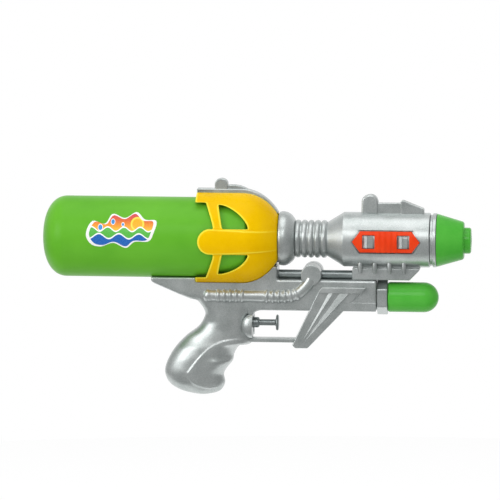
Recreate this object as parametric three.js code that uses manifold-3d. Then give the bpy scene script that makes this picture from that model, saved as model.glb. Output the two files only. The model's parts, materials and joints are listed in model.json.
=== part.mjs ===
// A hand-held pump-action water squirter, in millimetres: +X to the muzzle, +Y to the left, +Z up.
// The origin is the middle of the hand grip, on the parting plane of the two body halves.
import * as THREE from "three";
import { mergeVertices } from "three/addons/utils/BufferGeometryUtils.js";
import Module from "manifold-3d";

// Fits and walls
const CLEARANCE = 0.3;
const SEAM = 0.3;
const SEAL_GAP = 0.15;
const SHELL_WALL = 2;
const EDGE_BEVEL = 1;

// How far one shape runs into the next where they join, and how far a cut runs past a face
const LAP = 1;
const FAR = 400;

// Facets round a turned piece
const ROUND = 24;
const SMALL_ROUND = 12;
const SCREW_ROUND = 8;

// The three working axes, all along X on the parting plane. The barrel's is set by its height over the
// origin, and every other height and point below is counted from the barrel's axis.
const BARREL_HEIGHT = 90;
const PUMP_DROP = 45.8;
const TRIGGER_DROP = 67.6;

// Where the tank cover ends and the barrel begins
const COVER_FRONT = 57.6;

// Water tank: a blown bottle that screws into the socket by its neck
const TANK_RADIUS = 32.2;
const TANK_WALL = 1.6;
const TANK_STRAIGHT = 136;
const TANK_TAIL = 20;
const TANK_TAIL_FULLNESS = 2.3;
const TANK_SHOULDER = 13;
const NECK_RADIUS = 11;
const NECK_WALL = 1.8;
const NECK_LENGTH = 10.4;
const THREAD_PITCH = 4;
const THREAD_DEPTH = 1.1;
const THREAD_WIDTH = 1.5;
const THREAD_TURNS = 1.6;
const GASKET_THICKNESS = 1.6;
const GASKET_LIP = 2.6;

// Tank socket
const SOCKET_SETBACK = 3.6;
const SOCKET_FLOOR = 3.4;
const SOCKET_WALL = 2;
const SPIGOT_RADIUS = 8;
const EAR_THICKNESS = 2.5;
const EAR_HALF_HEIGHT = 5;
const EAR_SETBACK = 1;

// Pickup tube: the bends in the tank's shoulder, as [distance behind the tank's front, drop]
const PICKUP_DROP = 4;
const PICKUP_BENDS = [[-7, 4.6], [5, 12], [15, 25]];
const PICKUP_LEVEL_OFF = 30;

// Tank cover: a cage of bands, struts and a tongue that runs out into a dome
const COVER_GAP = 2.4;
const COVER_WALL = 2.4;
const COVER_STRAIGHT = 36.2;
const COVER_DOME_LENGTH = 29.2;
const COVER_DOME_DEPTH = 34.5;
const BAND_EDGE = 30;
const TONGUE_HALF = 10.6;
const TONGUE_FRONT_HALF = 8.4;
const TONGUE_RISE = 0.8;
const TONGUE_SETBACK = 2;
const STRUT_REAR_TOP = 8.3;
const STRUT_REAR_FOOT = 14.6;
const WINDOW_REAR_TOP = 19.7;
const WINDOW_REAR_FOOT = 22.3;
const WINDOW_LENGTH = 22.1;
const WINDOW_HEIGHT = 16.3;

// Spine over the cover, with the rear sight
const SPINE_HALF_WIDTH = 5;
const SPINE_RISE = 2.6;
const REAR_SIGHT_OFFSET = 14.2;
const REAR_SIGHT_LENGTH = 10.4;
const REAR_SIGHT_HEIGHT = 8.1;
const SIGHT_TAIL_LENGTH = 17.6;
const SIGHT_TAIL_HEIGHT = 3.2;
const SIGHT_TAIL_FLAT = 9.7;

// Barrel: bulb, bellows neck, cone and drum
const BULB_RADIUS = 21.7;
const BULB_DEPTH = 14.2;
const BULB_LEAD = 2.4;
const BELLOWS_RADIUS = 14.8;
const BELLOWS_GROOVE = 1;
const BELLOWS_PITCH = 5.1;
const BELLOWS_RIBS = 5;
const BELLOWS_RIB_SHAPE = [[0.1, 1], [0.32, 0], [0.68, 0], [0.9, 1]];
const CONE_LENGTH = 13.9;
const DRUM_RADIUS = 21.8;
const DRUM_LENGTH = 68.8;
const LIP_LENGTH = 2.4;

// Front sight on the drum
const SIGHT_HALF_WIDTH = 5;
const SIGHT_SETBACK = 13.6;
const SIGHT_POST_LENGTH = 13.6;
const SIGHT_POST_HEIGHT = 14.5;
const SIGHT_POST_SHOULDER = 10.2;
const SIGHT_POST_CROWN = 5;
const SIGHT_LEAN = 0.6;
const SIGHT_DECK_LENGTH = 17.8;
const SIGHT_DECK_HEIGHT = 7.7;
const SIGHT_RAMP_HEIGHT = 9.9;
const SIGHT_RAMP_LEAD = 2.4;
const SIGHT_RAMP_LENGTH = 18.8;
const SIGHT_RAMP_END = 3.2;

// Rail under the drum
const RAIL_HALF_WIDTH = 10;
const RAIL_SETBACK = 7.2;
const RAIL_LENGTH = 45.6;
const RAIL_SLOPE = 8;
const RAIL_WEB_HALF = 7;
const RAIL_RIBS = 4;
const RAIL_RIB_PITCH = 11.6;
const RAIL_RIB_LEAD = 6.4;
const RAIL_RIB_RADIUS = 1.7;
const RAIL_RIB_BULGE = 2.2;
const RAIL_RIB_RISE = 1;
const RAIL_RIB_HALF_HEIGHT = 5;
const TAB_LEAD = 4;
const TAB_LENGTH = 10;
const TAB_HALF_WIDTH = 5;
const TAB_DEPTH = 2.4;

// Side panels of the drum
const PANEL_HALF_LENGTH = 27;
const PANEL_HALF_HEIGHT = 9;
const PANEL_POINT = 6.4;
const PANEL_THICKNESS = 1.1;
const PANEL_PROUD = 0.2;
const PANEL_WINDOW_OFFSET = 13.8;
const PANEL_WINDOW_HALF = 4.4;
const PANEL_WINDOW_HALF_HEIGHT = 5.2;

// Muzzle ring, nozzle and jet
const GROOVE_LENGTH = 2;
const GROOVE_DEPTH = 1.4;
const RING_LENGTH = 2.8;
const RING_INSET = 0.2;
const RING_EDGE = 0.5;
const NOZZLE_LENGTH = 21.6;
const NOZZLE_RADIUS = 21.2;
const NOZZLE_FRONT_RADIUS = 14.8;
const NOZZLE_EDGE = 1;
const TIP_RADIUS = 10.4;
const TIP_LENGTH = 5.6;
const TIP_EDGE = 0.8;
const NOZZLE_WALL = 2;
const SPIGOT_BORE = 14.6;
const SPIGOT_WALL = 2.2;
const FLANGE_RISE = 2.4;
const FLANGE_LENGTH = 3;
const JET_RADIUS = 4;
const JET_BORE = 0.8;
const JET_FLANGE = 6.5;
const JET_FLANGE_LENGTH = 2;
const JET_SETBACK = 1;
const JET_TAIL = 9;

// Receiver
const RECEIVER_HALF_WIDTH = 14;
const RECEIVER_FRONT = 136.4;
const RECEIVER_TOP = -31.8;
const RECEIVER_BEVEL = 1.6;
const BLOCK_TOP = -21;
const WEB_HALF_WIDTH = 10.8;
const BLOCK_SLOPE = 18;
const FRONT_WALL = 3;
const GUARD_ROOF_RADIUS = 6.4;
const RECEIVER_ROOT_REAR = 2;
const RECEIVER_ROOT = -64;

// Underside of the tail seen from the side, from its top corner to the curve into the grip
const TAIL_UNDERSIDE = [[-43.6, -30.6], [-43.6, -34.2], [-41.6, -35.7], [-9.6, -49.4]];
const TAIL_CURVE = [-1.4, -53];

// Hollows of the tail and the fin, and the rear end of the one for the hoses
const TAIL_BAY = [[-36, -37.5], [-8, -47.5], [8, -52], [8, -34], [-34, -34]];
const FIN_BAY = [[81, -78], [93.8, -58], [100.8, -58]];
const HOSE_BAY_REAR = 6;
const PORT_ROOM = 2;

// Hand grip: its back and front seen from the side, from the receiver down to the butt
const GRIP_BACK = [
  [0, -50],
  [-0.8, -61.5],
  [-5.6, -70.3],
  [-16, -78.5],
  [-25.6, -89],
  [-32, -101.1],
  [-32.9, -110],
  [-28, -118.2],
  [-17.6, -123.5],
  [-5.6, -125.8],
];
const GRIP_FRONT = [
  [36.5, -50],
  [37.2, -64],
  [36.6, -83.2],
  [27.2, -85.8],
  [22.6, -92],
  [21.4, -98],
  [16.8, -104],
  [14, -109.3],
  [15.2, -116],
  [11.2, -122.9],
  [2.4, -125.4],
];
const GRIP_HALF_WIDTHS = [12.4, 12.4, 13, 14, 14.6, 14.6, 14, 12, 8.5, 4];
const GRIP_FULLNESS = 2.4;
const GRIP_SECTIONS = 15;
const GRIP_ROUND = 16;

// Trigger guard and the fin in front of it
const GUARD_HALF_WIDTH = 5.5;
const GUARD_BOTTOM = -83.1;
const GUARD_THICKNESS = 3.4;
const GUARD_ROOT = 4;
const FIN_TOP_HALF = 16;
const FIN_FOOT_HALF = 12.5;
const FIN_FOOT = -86.8;
const FIN_FOOT_REAR = 69.4;
const FIN_FOOT_LENGTH = 13.2;
const FIN_FOOT_CORNER = 2.4;
const FIN_HEAD = -37.1;
const FIN_HEAD_DROP = 2.9;
const FIN_HEAD_REAR = 90.8;
const FIN_HEAD_LENGTH = 36.8;
const FIN_BAND = -42.4;
const FIN_RELIEF = 1.2;

// Ridges on each side of the fin: x of one base edge, the crest and the other base edge, at the band;
// then where they run out near the foot, as [x, height], and how far apart
const FIN_RIDGES = [[98.4, 102.4, 106.4], [107.5, 114.4, 116.4]];
const FIN_RIDGE_END = [77, -82.4];
const FIN_RIDGE_STEP = 1.4;
const FIN_RIDGE_TOE = 0.4;

// Brace rod, its boss, and the ribbed pipe moulded on each side: the bends are [x, rise above the pump]
// and the groups of ribs [x of the first, how many]
const ROD_RADIUS = 3.6;
const ROD_HEIGHT = -28.5;
const BOSS_X = 84.5;
const BOSS_HEIGHT = -27.5;
const BOSS_RADIUS = 8;
const BOSS_HALF_WIDTH = 16;
const PIPE_RADIUS = 4.1;
const PIPE_RIB_RISE = 0.7;
const PIPE_RIB_LENGTH = 2.6;
const PIPE_RIB_PITCH = 4.8;
const PIPE_REAR = 1;
const PIPE_BENDS = [[33, 0], [66, 0.4], [74, 2.6]];
const PIPE_RIB_GROUPS = [[10.3, 5], [49.1, 6]];
const PIPE_SINK = 1;
const PIPE_SIDES = 10;

// Pump
const PUMP_BORE = 7;
const PUMP_WALL = 1.4;
const PUMP_LENGTH = 74;
const PUMP_END_WALL = 2.4;
const PUMP_NECK_RADIUS = 3;
const PUMP_NECK_LENGTH = 5;
const PASSAGE_RADIUS = 1;
const NUT_LENGTH = 8.4;
const NUT_CORNER_RADIUS = 14;
const NUT_FRONT_WALL = 3.4;
const NUT_BEVEL = 0.8;
const ROD_GAP = 0.4;
const PUMP_ROD_RADIUS = 3.6;
const PISTON_LENGTH = 7;
const PISTON_STUD = 2.2;
const PISTON_STUD_SETBACK = 1;
const PISTON_LEAD = 1.6;
const PISTON_GROOVE = 1.6;
const HANDLE_RADIUS = 12;
const HANDLE_LENGTH = 40.2;
const HANDLE_WALL = 2;
const HANDLE_BOSS_WALL = 2;
const HANDLE_BOSS_SETBACK = 1;
const HANDLE_EDGE = 0.6;
const ROD_IN_HANDLE = 22;

// Check valve behind the pump
const CHECK_RADIUS = 5;
const CHECK_LENGTH = 11;
const CHECK_SPIGOT = 3;
const FLAP_RADIUS = 2.4;
const FLAP_THICKNESS = 0.8;
const FLAP_LIFT = 0.5;

// Trigger valve
const TRIGGER_FACE = 37.4;
const HOUSING_RADIUS = 12;
const HOUSING_LENGTH = 17;
const HOUSING_REAR_RADIUS = 6;
const VALVE_RADIUS = 6.6;
const VALVE_BORE = 4.6;
const VALVE_LENGTH = 27;
const VALVE_END_WALL = 2.4;
const VALVE_PORT_LEAD = 12.4;
const VALVE_PORT_SPACING = 9;
const BUSH_RADIUS = 4.2;
const BUSH_LENGTH = 5;
const BUSH_PLUG = 4;
const BUSH_EDGE = 0.8;
const STEM_RADIUS = 2.4;
const STEM_LAND = 1;
const STEM_FREE = 12.4;
const HEAD_RADIUS = 6.4;
const HEAD_LENGTH = 3.2;
const HEAD_EDGE = 0.8;
const SPRING_WIRE = 0.45;
const SPRING_RADIUS = 3.3;
const SPRING_TURNS = 5;
const SPRING_LENGTH = 12;
const SPRING_STEPS = 8;
const SPRING_SIDES = 5;
const SEAL_WIRE = 1;

// Hoses
const HOSE_RADIUS = 2.3;
const HOSE_BORE = 1.4;
const HOSE_SPREAD = 5.6;
const NIPPLE_RADIUS = 1.6;
const NIPPLE_LENGTH = 3.4;
const TUBE_SIDES = 6;

// Ways the hoses take between their ends, as [x, y, z]
const SUPPLY_WAY = [[48, -5.6, -31], [38, -5.6, -38], [28, -4.5, -44], [22, -2, -49]];
const AIR_WAY = [[42.5, 2, -41.4], [43, 5, -35], [48.5, 5.6, -29.5]];
const JET_WAY = [
  [31, 0, -44],
  [36, 0, -37],
  [44.5, 0, -30.5],
  [48, 0, -24],
  [52.6, 0, -19],
  [58, 0, -16.6],
  [63.5, 0, -14],
  [70, 0, -8.4],
  [76.5, 0, -3.2],
];
const HOSE_LEAD = 5;

// Case screws, driven from the left
const SCREW_RADIUS = 1.3;
const SCREW_HEAD_RADIUS = 2.6;
const SCREW_HEAD_LENGTH = 2;
const SCREW_BOSS_WALL = 1.2;

// Screws of the barrel: how far each is from the drum's rear end, above and below the axis in turn
const BARREL_SCREW_LEADS = [7, 30.5, 54.3];
const BARREL_SCREW_HEIGHT = 16;
const BARREL_BOSS_HALF = 14.2;
const BARREL_SCREW_SEAT = 8.5;
const BARREL_SCREW_TIP = -8;

// Screws of the frame: x, height, half length of the boss, seat of the head and tip
const FRAME_SCREWS = [
  [-7, -110, 12, 7, -8],
  [-6, -86, 12, 7, -8],
  [-18, -39, 13, 8, -9],
  [3, -56, 13, 8, -9],
  [75, -82.2, 12, 9, -8],
  [84.8, -62, 13.5, 10, -9],
];

// Stations and radii worked out from the sizes above
const pumpHeight = -PUMP_DROP;
const triggerHeight = -TRIGGER_DROP;
const socketFront = COVER_FRONT - SOCKET_SETBACK;
const socketFloor = socketFront - SOCKET_FLOOR;
const socketBore = NECK_RADIUS + THREAD_DEPTH + CLEARANCE;
const socketRadius = socketBore + SOCKET_WALL;
const neckEnd = socketFloor - GASKET_THICKNESS - 2 * CLEARANCE;
const neckBore = NECK_RADIUS - NECK_WALL;
const shoulderEnd = neckEnd - NECK_LENGTH;
const tankFront = shoulderEnd - TANK_SHOULDER;
const tankRear = tankFront - TANK_STRAIGHT;
const coverInner = TANK_RADIUS + COVER_GAP;
const coverRadius = coverInner + COVER_WALL;
const domeStart = COVER_FRONT - COVER_DOME_LENGTH;
const coverRear = domeStart - COVER_STRAIGHT;
const barrelRear = COVER_FRONT + CLEARANCE;
const bulbCentre = COVER_FRONT + BULB_LEAD;
const bellowsRear = bulbCentre + BULB_DEPTH * Math.sqrt(1 - (BELLOWS_RADIUS / BULB_RADIUS) ** 2);
const bellowsFront = bellowsRear + BELLOWS_PITCH * BELLOWS_RIBS;
const drumRear = bellowsFront + CONE_LENGTH;
const drumFront = drumRear + DRUM_LENGTH;
const drumBore = DRUM_RADIUS - SHELL_WALL;
const neckInner = BELLOWS_RADIUS - BELLOWS_GROOVE - SHELL_WALL;
const spigotRadius = SPIGOT_BORE + SPIGOT_WALL;
const ringRear = drumFront + CLEARANCE;
const ringFront = ringRear + GROOVE_LENGTH + RING_LENGTH;
const nozzleRear = ringFront + CLEARANCE;
const nozzleFront = nozzleRear + NOZZLE_LENGTH;
const tipFront = nozzleFront + TIP_LENGTH;
const flangeFront = drumFront - LIP_LENGTH - CLEARANCE;
const panelCentre = drumRear + DRUM_LENGTH / 2;
const pumpRadius = PUMP_BORE + PUMP_WALL;
const receiverBottom = pumpHeight - pumpRadius - CLEARANCE - SHELL_WALL;
const railBottom = RECEIVER_TOP + CLEARANCE;
const railRear = drumRear + RAIL_SETBACK;
const nutRear = RECEIVER_FRONT + CLEARANCE;
const nutFront = nutRear + NUT_LENGTH;
const pumpFront = nutFront - NUT_FRONT_WALL - CLEARANCE;
const pumpRear = pumpFront - PUMP_LENGTH;
const pistonRear = pumpRear + PUMP_END_WALL + PISTON_LEAD;
const pistonFront = pistonRear + PISTON_LENGTH;
const handleRear = nutFront + CLEARANCE;
const bushFront = TRIGGER_FACE + BUSH_LENGTH;
const valveFront = TRIGGER_FACE - SHELL_WALL - CLEARANCE;
const valveRear = valveFront - VALVE_LENGTH;
const headRear = bushFront + STEM_FREE;
const sealCentre = valveRear + VALVE_END_WALL + SPRING_LENGTH + 2 * CLEARANCE + SEAL_WIRE * 2;

const silver = new THREE.MeshStandardMaterial({ color: 0x8b9494, roughness: 0.38, metalness: 0.55 });
const green = new THREE.MeshStandardMaterial({ color: 0x5bb034, roughness: 0.3, metalness: 0 });
const yellow = new THREE.MeshStandardMaterial({ color: 0xf2c300, roughness: 0.3, metalness: 0 });
const orange = new THREE.MeshStandardMaterial({ color: 0xe8431f, roughness: 0.35, metalness: 0 });
const white = new THREE.MeshStandardMaterial({ color: 0xe6e4dc, roughness: 0.5, metalness: 0 });
const clear = new THREE.MeshStandardMaterial({ color: 0xd6dcd8, roughness: 0.25, metalness: 0 });
const rubber = new THREE.MeshStandardMaterial({ color: 0x26282a, roughness: 0.7, metalness: 0 });
const steel = new THREE.MeshStandardMaterial({ color: 0xb9bdc0, roughness: 0.3, metalness: 1 });

const wasm = await Module();
wasm.setup();

// A closed geometry as a solid that can be joined and cut
function solid(geometry) {
  const loose = geometry.index ? geometry.toNonIndexed() : geometry;
  const bare = new THREE.BufferGeometry();
  bare.setAttribute("position", loose.getAttribute("position"));
  const merged = mergeVertices(bare, 1e-4);
  const corners = merged.index.array;
  const kept = [];
  for (let i = 0; i < corners.length; i += 3) {
    const [a, b, c] = [corners[i], corners[i + 1], corners[i + 2]];
    if (a !== b && b !== c && c !== a) kept.push(a, b, c);
  }
  const vertProperties = merged.attributes.position.array;
  const closed = (triVerts) => new wasm.Manifold(new wasm.Mesh({ numProp: 3, vertProperties, triVerts }));
  const made = closed(new Uint32Array(kept));
  return made.volume() > 0 ? made : closed(new Uint32Array(kept.reverse()));
}

const join = (first, ...rest) => rest.reduce((sum, next) => sum.add(next), first);
const cut = (base, ...tools) => tools.reduce((left, tool) => left.subtract(tool), base);

function mesh(name, shape, material) {
  const made = shape.getMesh();
  const geometry = new THREE.BufferGeometry();
  geometry.setAttribute("position", new THREE.BufferAttribute(made.vertProperties, made.numProp));
  geometry.setIndex(new THREE.BufferAttribute(made.triVerts, 1));
  geometry.computeVertexNormals();
  const piece = new THREE.Mesh(geometry, material);
  piece.name = name;
  return piece;
}

// Points of an elliptic arc, from one angle in degrees to another, as [x, radius] pairs
function arc(x, radius, depth, rise, from, to, steps, fullness = 2) {
  const points = [];
  for (let i = 0; i <= steps; i++) {
    const angle = THREE.MathUtils.degToRad(from + ((to - from) * i) / steps);
    const along = Math.sign(Math.cos(angle)) * Math.abs(Math.cos(angle)) ** (2 / fullness);
    const out = Math.abs(Math.sin(angle)) ** (2 / fullness);
    points.push([x + depth * along, radius + rise * (out < 1e-6 ? 0 : out)]);
  }
  return points;
}

// The angle at which such an arc reaches a given distance along X
const angleAt = (distance, depth) => THREE.MathUtils.radToDeg(Math.acos(distance / depth));

// A solid turned about the X axis, at a height, from a closed profile of [x, radius] pairs
function turned(profile, round = ROUND, height = 0) {
  const points = profile.map(([x, radius]) => new THREE.Vector2(Math.max(radius, 0), x));
  const onAxis = points[0].x === 0 && points.at(-1).x === 0;
  if (!onAxis) points.push(points[0].clone());
  return solid(new THREE.LatheGeometry(points, round).rotateZ(-Math.PI / 2).translate(0, 0, height));
}

const rod = (rear, front, radius, round = SMALL_ROUND, height = 0) =>
  turned([[rear, 0], [rear, radius], [front, radius], [front, 0]], round, height);

const tube = (rear, front, bore, radius, round = SMALL_ROUND, height = 0) =>
  turned([[rear, bore], [rear, radius], [front, radius], [front, bore]], round, height);

function block(x0, x1, y0, y1, z0, z1) {
  const box = new THREE.BoxGeometry(x1 - x0, y1 - y0, z1 - z0);
  return solid(box.translate((x0 + x1) / 2, (y0 + y1) / 2, (z0 + z1) / 2));
}

// A side outline in X and Z given a width from y0 to y1, with its edges bevelled
function prism(shape, y0, y1, bevel = 0) {
  const geometry = new THREE.ExtrudeGeometry(shape, {
    depth: y1 - y0 - 2 * bevel,
    bevelEnabled: bevel > 0,
    bevelThickness: bevel,
    bevelSize: bevel,
    bevelOffset: -bevel,
    bevelSegments: 1,
    curveSegments: 6,
    steps: 1,
  });
  return solid(geometry.rotateX(Math.PI / 2).translate(0, y1 - bevel, 0));
}

const outline = (points) => new THREE.Shape(points.map(([x, z]) => new THREE.Vector2(x, z)));

// A cylinder across the body, along Y
function pin(x, z, y0, y1, radius, round = SMALL_ROUND) {
  const across = new THREE.CylinderGeometry(radius, radius, y1 - y0, round);
  return solid(across.translate(x, (y0 + y1) / 2, z));
}

// A cylinder that stands along Z
function post(x, y, z0, z1, radius, round = SMALL_ROUND) {
  const upright = new THREE.CylinderGeometry(radius, radius, z1 - z0, round).rotateX(Math.PI / 2);
  return solid(upright.translate(x, y, (z0 + z1) / 2));
}

// A round section swept along a curve, with a bore where one is given
function swept(curve, steps, radius, bore = 0, sides = TUBE_SIDES) {
  const ring = (r) => {
    const points = [];
    for (let i = 0; i < sides; i++) {
      const angle = (2 * Math.PI * i) / sides;
      points.push(new THREE.Vector2(r * Math.cos(angle), r * Math.sin(angle)));
    }
    return points;
  };
  const section = new THREE.Shape(ring(radius));
  if (bore > 0) section.holes.push(new THREE.Path(ring(bore)));
  return solid(new THREE.ExtrudeGeometry(section, { extrudePath: curve, steps, bevelEnabled: false }));
}

const route = (points) => new THREE.CatmullRomCurve3(points.map(([x, y, z]) => new THREE.Vector3(x, y, z)));

// A closed skin over a row of rings that have the same number of points
function loft(rings) {
  const count = rings[0].length;
  const corners = [];
  for (let i = 0; i + 1 < rings.length; i++) {
    for (let j = 0; j < count; j++) {
      const k = (j + 1) % count;
      corners.push(rings[i][j], rings[i + 1][j], rings[i + 1][k]);
      corners.push(rings[i][j], rings[i + 1][k], rings[i][k]);
    }
  }
  for (let j = 1; j + 1 < count; j++) {
    corners.push(rings[0][0], rings[0][j], rings[0][j + 1]);
    corners.push(rings.at(-1)[0], rings.at(-1)[j + 1], rings.at(-1)[j]);
  }
  return solid(new THREE.BufferGeometry().setFromPoints(corners));
}

// One helical thread ridge about the X axis, right-handed
function threadRidge(rear, root, crest) {
  const steps = Math.round(THREAD_TURNS * ROUND);
  const rings = [];
  for (let i = 0; i <= steps; i++) {
    const angle = (2 * Math.PI * i) / ROUND;
    const x = rear + (THREAD_PITCH * i) / ROUND;
    const at = (dx, r) => new THREE.Vector3(x + dx, r * Math.cos(angle), r * Math.sin(angle));
    const half = THREAD_WIDTH / 2;
    rings.push([at(-half, root), at(-half / 2, crest), at(half / 2, crest), at(half, root)]);
  }
  return loft(rings);
}

// The right and left halves of a moulding that parts on Y = 0
const halves = {
  right: (shape) => shape.intersect(block(-FAR, FAR, -FAR, -SEAM / 2, -FAR, FAR)),
  left: (shape) => shape.intersect(block(-FAR, FAR, SEAM / 2, FAR, -FAR, FAR)),
};

const part = new THREE.Group();
const barrelLine = new THREE.Group();
const pumpLine = new THREE.Group();
const triggerLine = new THREE.Group();
barrelLine.position.z = BARREL_HEIGHT;
pumpLine.position.z = pumpHeight;
triggerLine.position.z = triggerHeight;
barrelLine.add(pumpLine, triggerLine);
part.add(barrelLine);

// Tank, gasket, socket and pickup tube
function shoulderOutline(grow) {
  return arc(tankFront, NECK_RADIUS + grow, TANK_SHOULDER, TANK_RADIUS - NECK_RADIUS, 90, 0, 5);
}

function tank() {
  const inner = TANK_RADIUS - TANK_WALL;
  const profile = [
    ...arc(tankRear, 0, TANK_TAIL, TANK_RADIUS, 180, 90, 6, TANK_TAIL_FULLNESS),
    ...shoulderOutline(0),
    [neckEnd, NECK_RADIUS],
    [neckEnd, neckBore],
    ...arc(tankFront, neckBore, TANK_SHOULDER - TANK_WALL, inner - neckBore, 0, 90, 3),
    ...arc(tankRear, 0, TANK_TAIL - TANK_WALL, inner, 90, 180, 4, TANK_TAIL_FULLNESS),
  ];
  const root = NECK_RADIUS - NECK_WALL / 2;
  const ridge = threadRidge(shoulderEnd + THREAD_WIDTH, root, NECK_RADIUS + THREAD_DEPTH);
  return join(turned(profile), ridge);
}

function tankGasket() {
  return tube(neckEnd + CLEARANCE, socketFloor - CLEARANCE, neckBore - GASKET_LIP / 2, NECK_RADIUS, ROUND);
}

const nippleX = socketFloor + SOCKET_FLOOR / 2;
const nippleEnd = -socketRadius - NIPPLE_LENGTH;
const socketRear = shoulderEnd + THREAD_WIDTH;
const earFront = barrelRear + EAR_THICKNESS + EAR_SETBACK;

function tankSocket() {
  const cup = turned([
    [socketFloor, 0],
    [socketFloor, socketBore],
    [socketRear, socketBore],
    [socketRear, socketRadius],
    [socketFront, socketRadius],
    [socketFront, SPIGOT_RADIUS],
    [earFront, SPIGOT_RADIUS],
    [earFront, 0],
  ]);
  const crest = NECK_RADIUS + CLEARANCE;
  const ridge = threadRidge(socketRear + THREAD_PITCH / 2, socketBore + SOCKET_WALL / 2, crest);
  const reach = Math.sqrt((BULB_RADIUS - SHELL_WALL - CLEARANCE) ** 2 - EAR_HALF_HEIGHT ** 2) - CLEARANCE;
  const ears = block(earFront - EAR_THICKNESS, earFront, -reach, reach, -EAR_HALF_HEIGHT, EAR_HALF_HEIGHT);
  const nipple = (y) => post(nippleX, y, nippleEnd, -socketBore, NIPPLE_RADIUS, TUBE_SIDES);
  return join(cup, ridge, ears, nipple(-HOSE_SPREAD), nipple(HOSE_SPREAD));
}

const pickupFloor = TANK_RADIUS - TANK_WALL - HOSE_RADIUS - 2 * CLEARANCE;

function pickupTube() {
  const path = route([
    [socketFloor - CLEARANCE, 0, -PICKUP_DROP],
    [neckEnd - NECK_LENGTH / 2, 0, -PICKUP_DROP],
    ...PICKUP_BENDS.map(([behind, drop]) => [tankFront - behind, 0, -drop]),
    [tankFront - PICKUP_LEVEL_OFF, 0, -pickupFloor],
    [tankFront - 2 * PICKUP_LEVEL_OFF, 0, -pickupFloor],
    [tankRear, 0, -pickupFloor],
  ]);
  return swept(path, 18, HOSE_RADIUS, HOSE_BORE);
}

barrelLine.add(
  mesh("tank", tank(), green),
  mesh("tank_gasket", tankGasket(), rubber),
  mesh("tank_socket", tankSocket(), white),
  mesh("pickup_tube", pickupTube(), clear),
);

// Tank cover, one shell on each side
function domeOutline(grow) {
  const depth = COVER_DOME_DEPTH + grow;
  const end = angleAt(COVER_DOME_LENGTH, depth);
  return arc(domeStart, 0, depth, coverRadius + grow, 90, end, 7);
}

function coverShell(grow) {
  const outer = [[coverRear, coverRadius + grow], ...domeOutline(grow)];
  const inner = [...domeOutline(-COVER_WALL).reverse(), [coverRear, coverInner]];
  return turned([...outer, ...inner]);
}

function tongueShape() {
  const centre = coverRear + TONGUE_SETBACK + TONGUE_HALF;
  const shape = new THREE.Shape();
  shape.moveTo(COVER_FRONT, -TONGUE_FRONT_HALF);
  shape.lineTo(COVER_FRONT, TONGUE_FRONT_HALF);
  shape.lineTo(centre, TONGUE_HALF);
  shape.absarc(centre, 0, TONGUE_HALF, Math.PI / 2, 1.5 * Math.PI, false);
  return shape;
}

// The open space behind the struts, round the tongue
function notchShape() {
  const centre = coverRear + TONGUE_SETBACK + TONGUE_HALF;
  const shape = new THREE.Shape();
  shape.moveTo(coverRear - 1, BAND_EDGE);
  shape.lineTo(coverRear - 1, -BAND_EDGE);
  shape.lineTo(coverRear + STRUT_REAR_TOP, -BAND_EDGE);
  shape.lineTo(coverRear + STRUT_REAR_FOOT, -TONGUE_HALF);
  shape.lineTo(centre, -TONGUE_HALF);
  shape.absarc(centre, 0, TONGUE_HALF, -Math.PI / 2, -1.5 * Math.PI, true);
  shape.lineTo(coverRear + STRUT_REAR_FOOT, TONGUE_HALF);
  shape.lineTo(coverRear + STRUT_REAR_TOP, BAND_EDGE);
  return shape;
}

function windowShape(side) {
  const rear = coverRear + WINDOW_REAR_TOP;
  const foot = side * TONGUE_HALF;
  const shape = new THREE.Shape();
  shape.moveTo(coverRear + WINDOW_REAR_FOOT, foot);
  for (let i = 0; i <= 6; i++) {
    const angle = (Math.PI / 2) * (i / 6);
    shape.lineTo(rear + WINDOW_LENGTH * Math.cos(angle), foot + side * WINDOW_HEIGHT * Math.sin(angle));
  }
  return shape;
}

function tankCover() {
  const tongue = coverShell(TONGUE_RISE).intersect(prism(tongueShape(), -FAR, FAR));
  const cage = cut(
    coverShell(0),
    prism(notchShape(), -FAR, FAR),
    prism(windowShape(1), -FAR, FAR),
    prism(windowShape(-1), -FAR, FAR),
  );
  const top = SPINE_HALF_WIDTH + CLEARANCE;
  const foot = WEB_HALF_WIDTH + CLEARANCE;
  const spineSlot = block(-FAR, FAR, -top, top, 0, FAR);
  const webSlot = block(-FAR, FAR, -foot, foot, -FAR, 0);
  return cut(join(cage, tongue), spineSlot, webSlot);
}

const cover = tankCover();
for (const side of ["right", "left"]) {
  barrelLine.add(mesh(`tank_cover_${side}`, halves[side](cover), yellow));
}

// Case screws: bosses, holes and the screws themselves, from the seat of the head to the tip
const holeRadius = SCREW_RADIUS + CLEARANCE;
const sinkRadius = SCREW_HEAD_RADIUS + CLEARANCE;
const bossRadius = sinkRadius + SCREW_BOSS_WALL;

function screwBoss({ x, z, half }, side) {
  const [rear, front] = side === "left" ? [0, half] : [-half, 0];
  return pin(x, z, rear, front, bossRadius, SCREW_ROUND);
}

function screwHole({ x, z, seat, tip }, side) {
  if (side === "right") return pin(x, z, tip - CLEARANCE, LAP, holeRadius, SCREW_ROUND);
  return join(pin(x, z, -LAP, FAR, holeRadius, SCREW_ROUND), pin(x, z, seat, FAR, sinkRadius, SCREW_ROUND));
}

function screw({ x, z, seat, tip }) {
  const under = seat + CLEARANCE;
  const head = pin(x, z, under, under + SCREW_HEAD_LENGTH, SCREW_HEAD_RADIUS, SCREW_ROUND);
  return join(head, pin(x, z, tip, under + LAP, SCREW_RADIUS, SCREW_ROUND));
}

const barrelScrews = BARREL_SCREW_LEADS.map((lead, i) => ({
  x: drumRear + lead,
  z: i % 2 === 0 ? BARREL_SCREW_HEIGHT : -BARREL_SCREW_HEIGHT,
  half: BARREL_BOSS_HALF,
  seat: BARREL_SCREW_SEAT,
  tip: BARREL_SCREW_TIP,
}));
const frameScrews = FRAME_SCREWS.map(([x, z, half, seat, tip]) => ({ x, z, half, seat, tip }));

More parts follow.
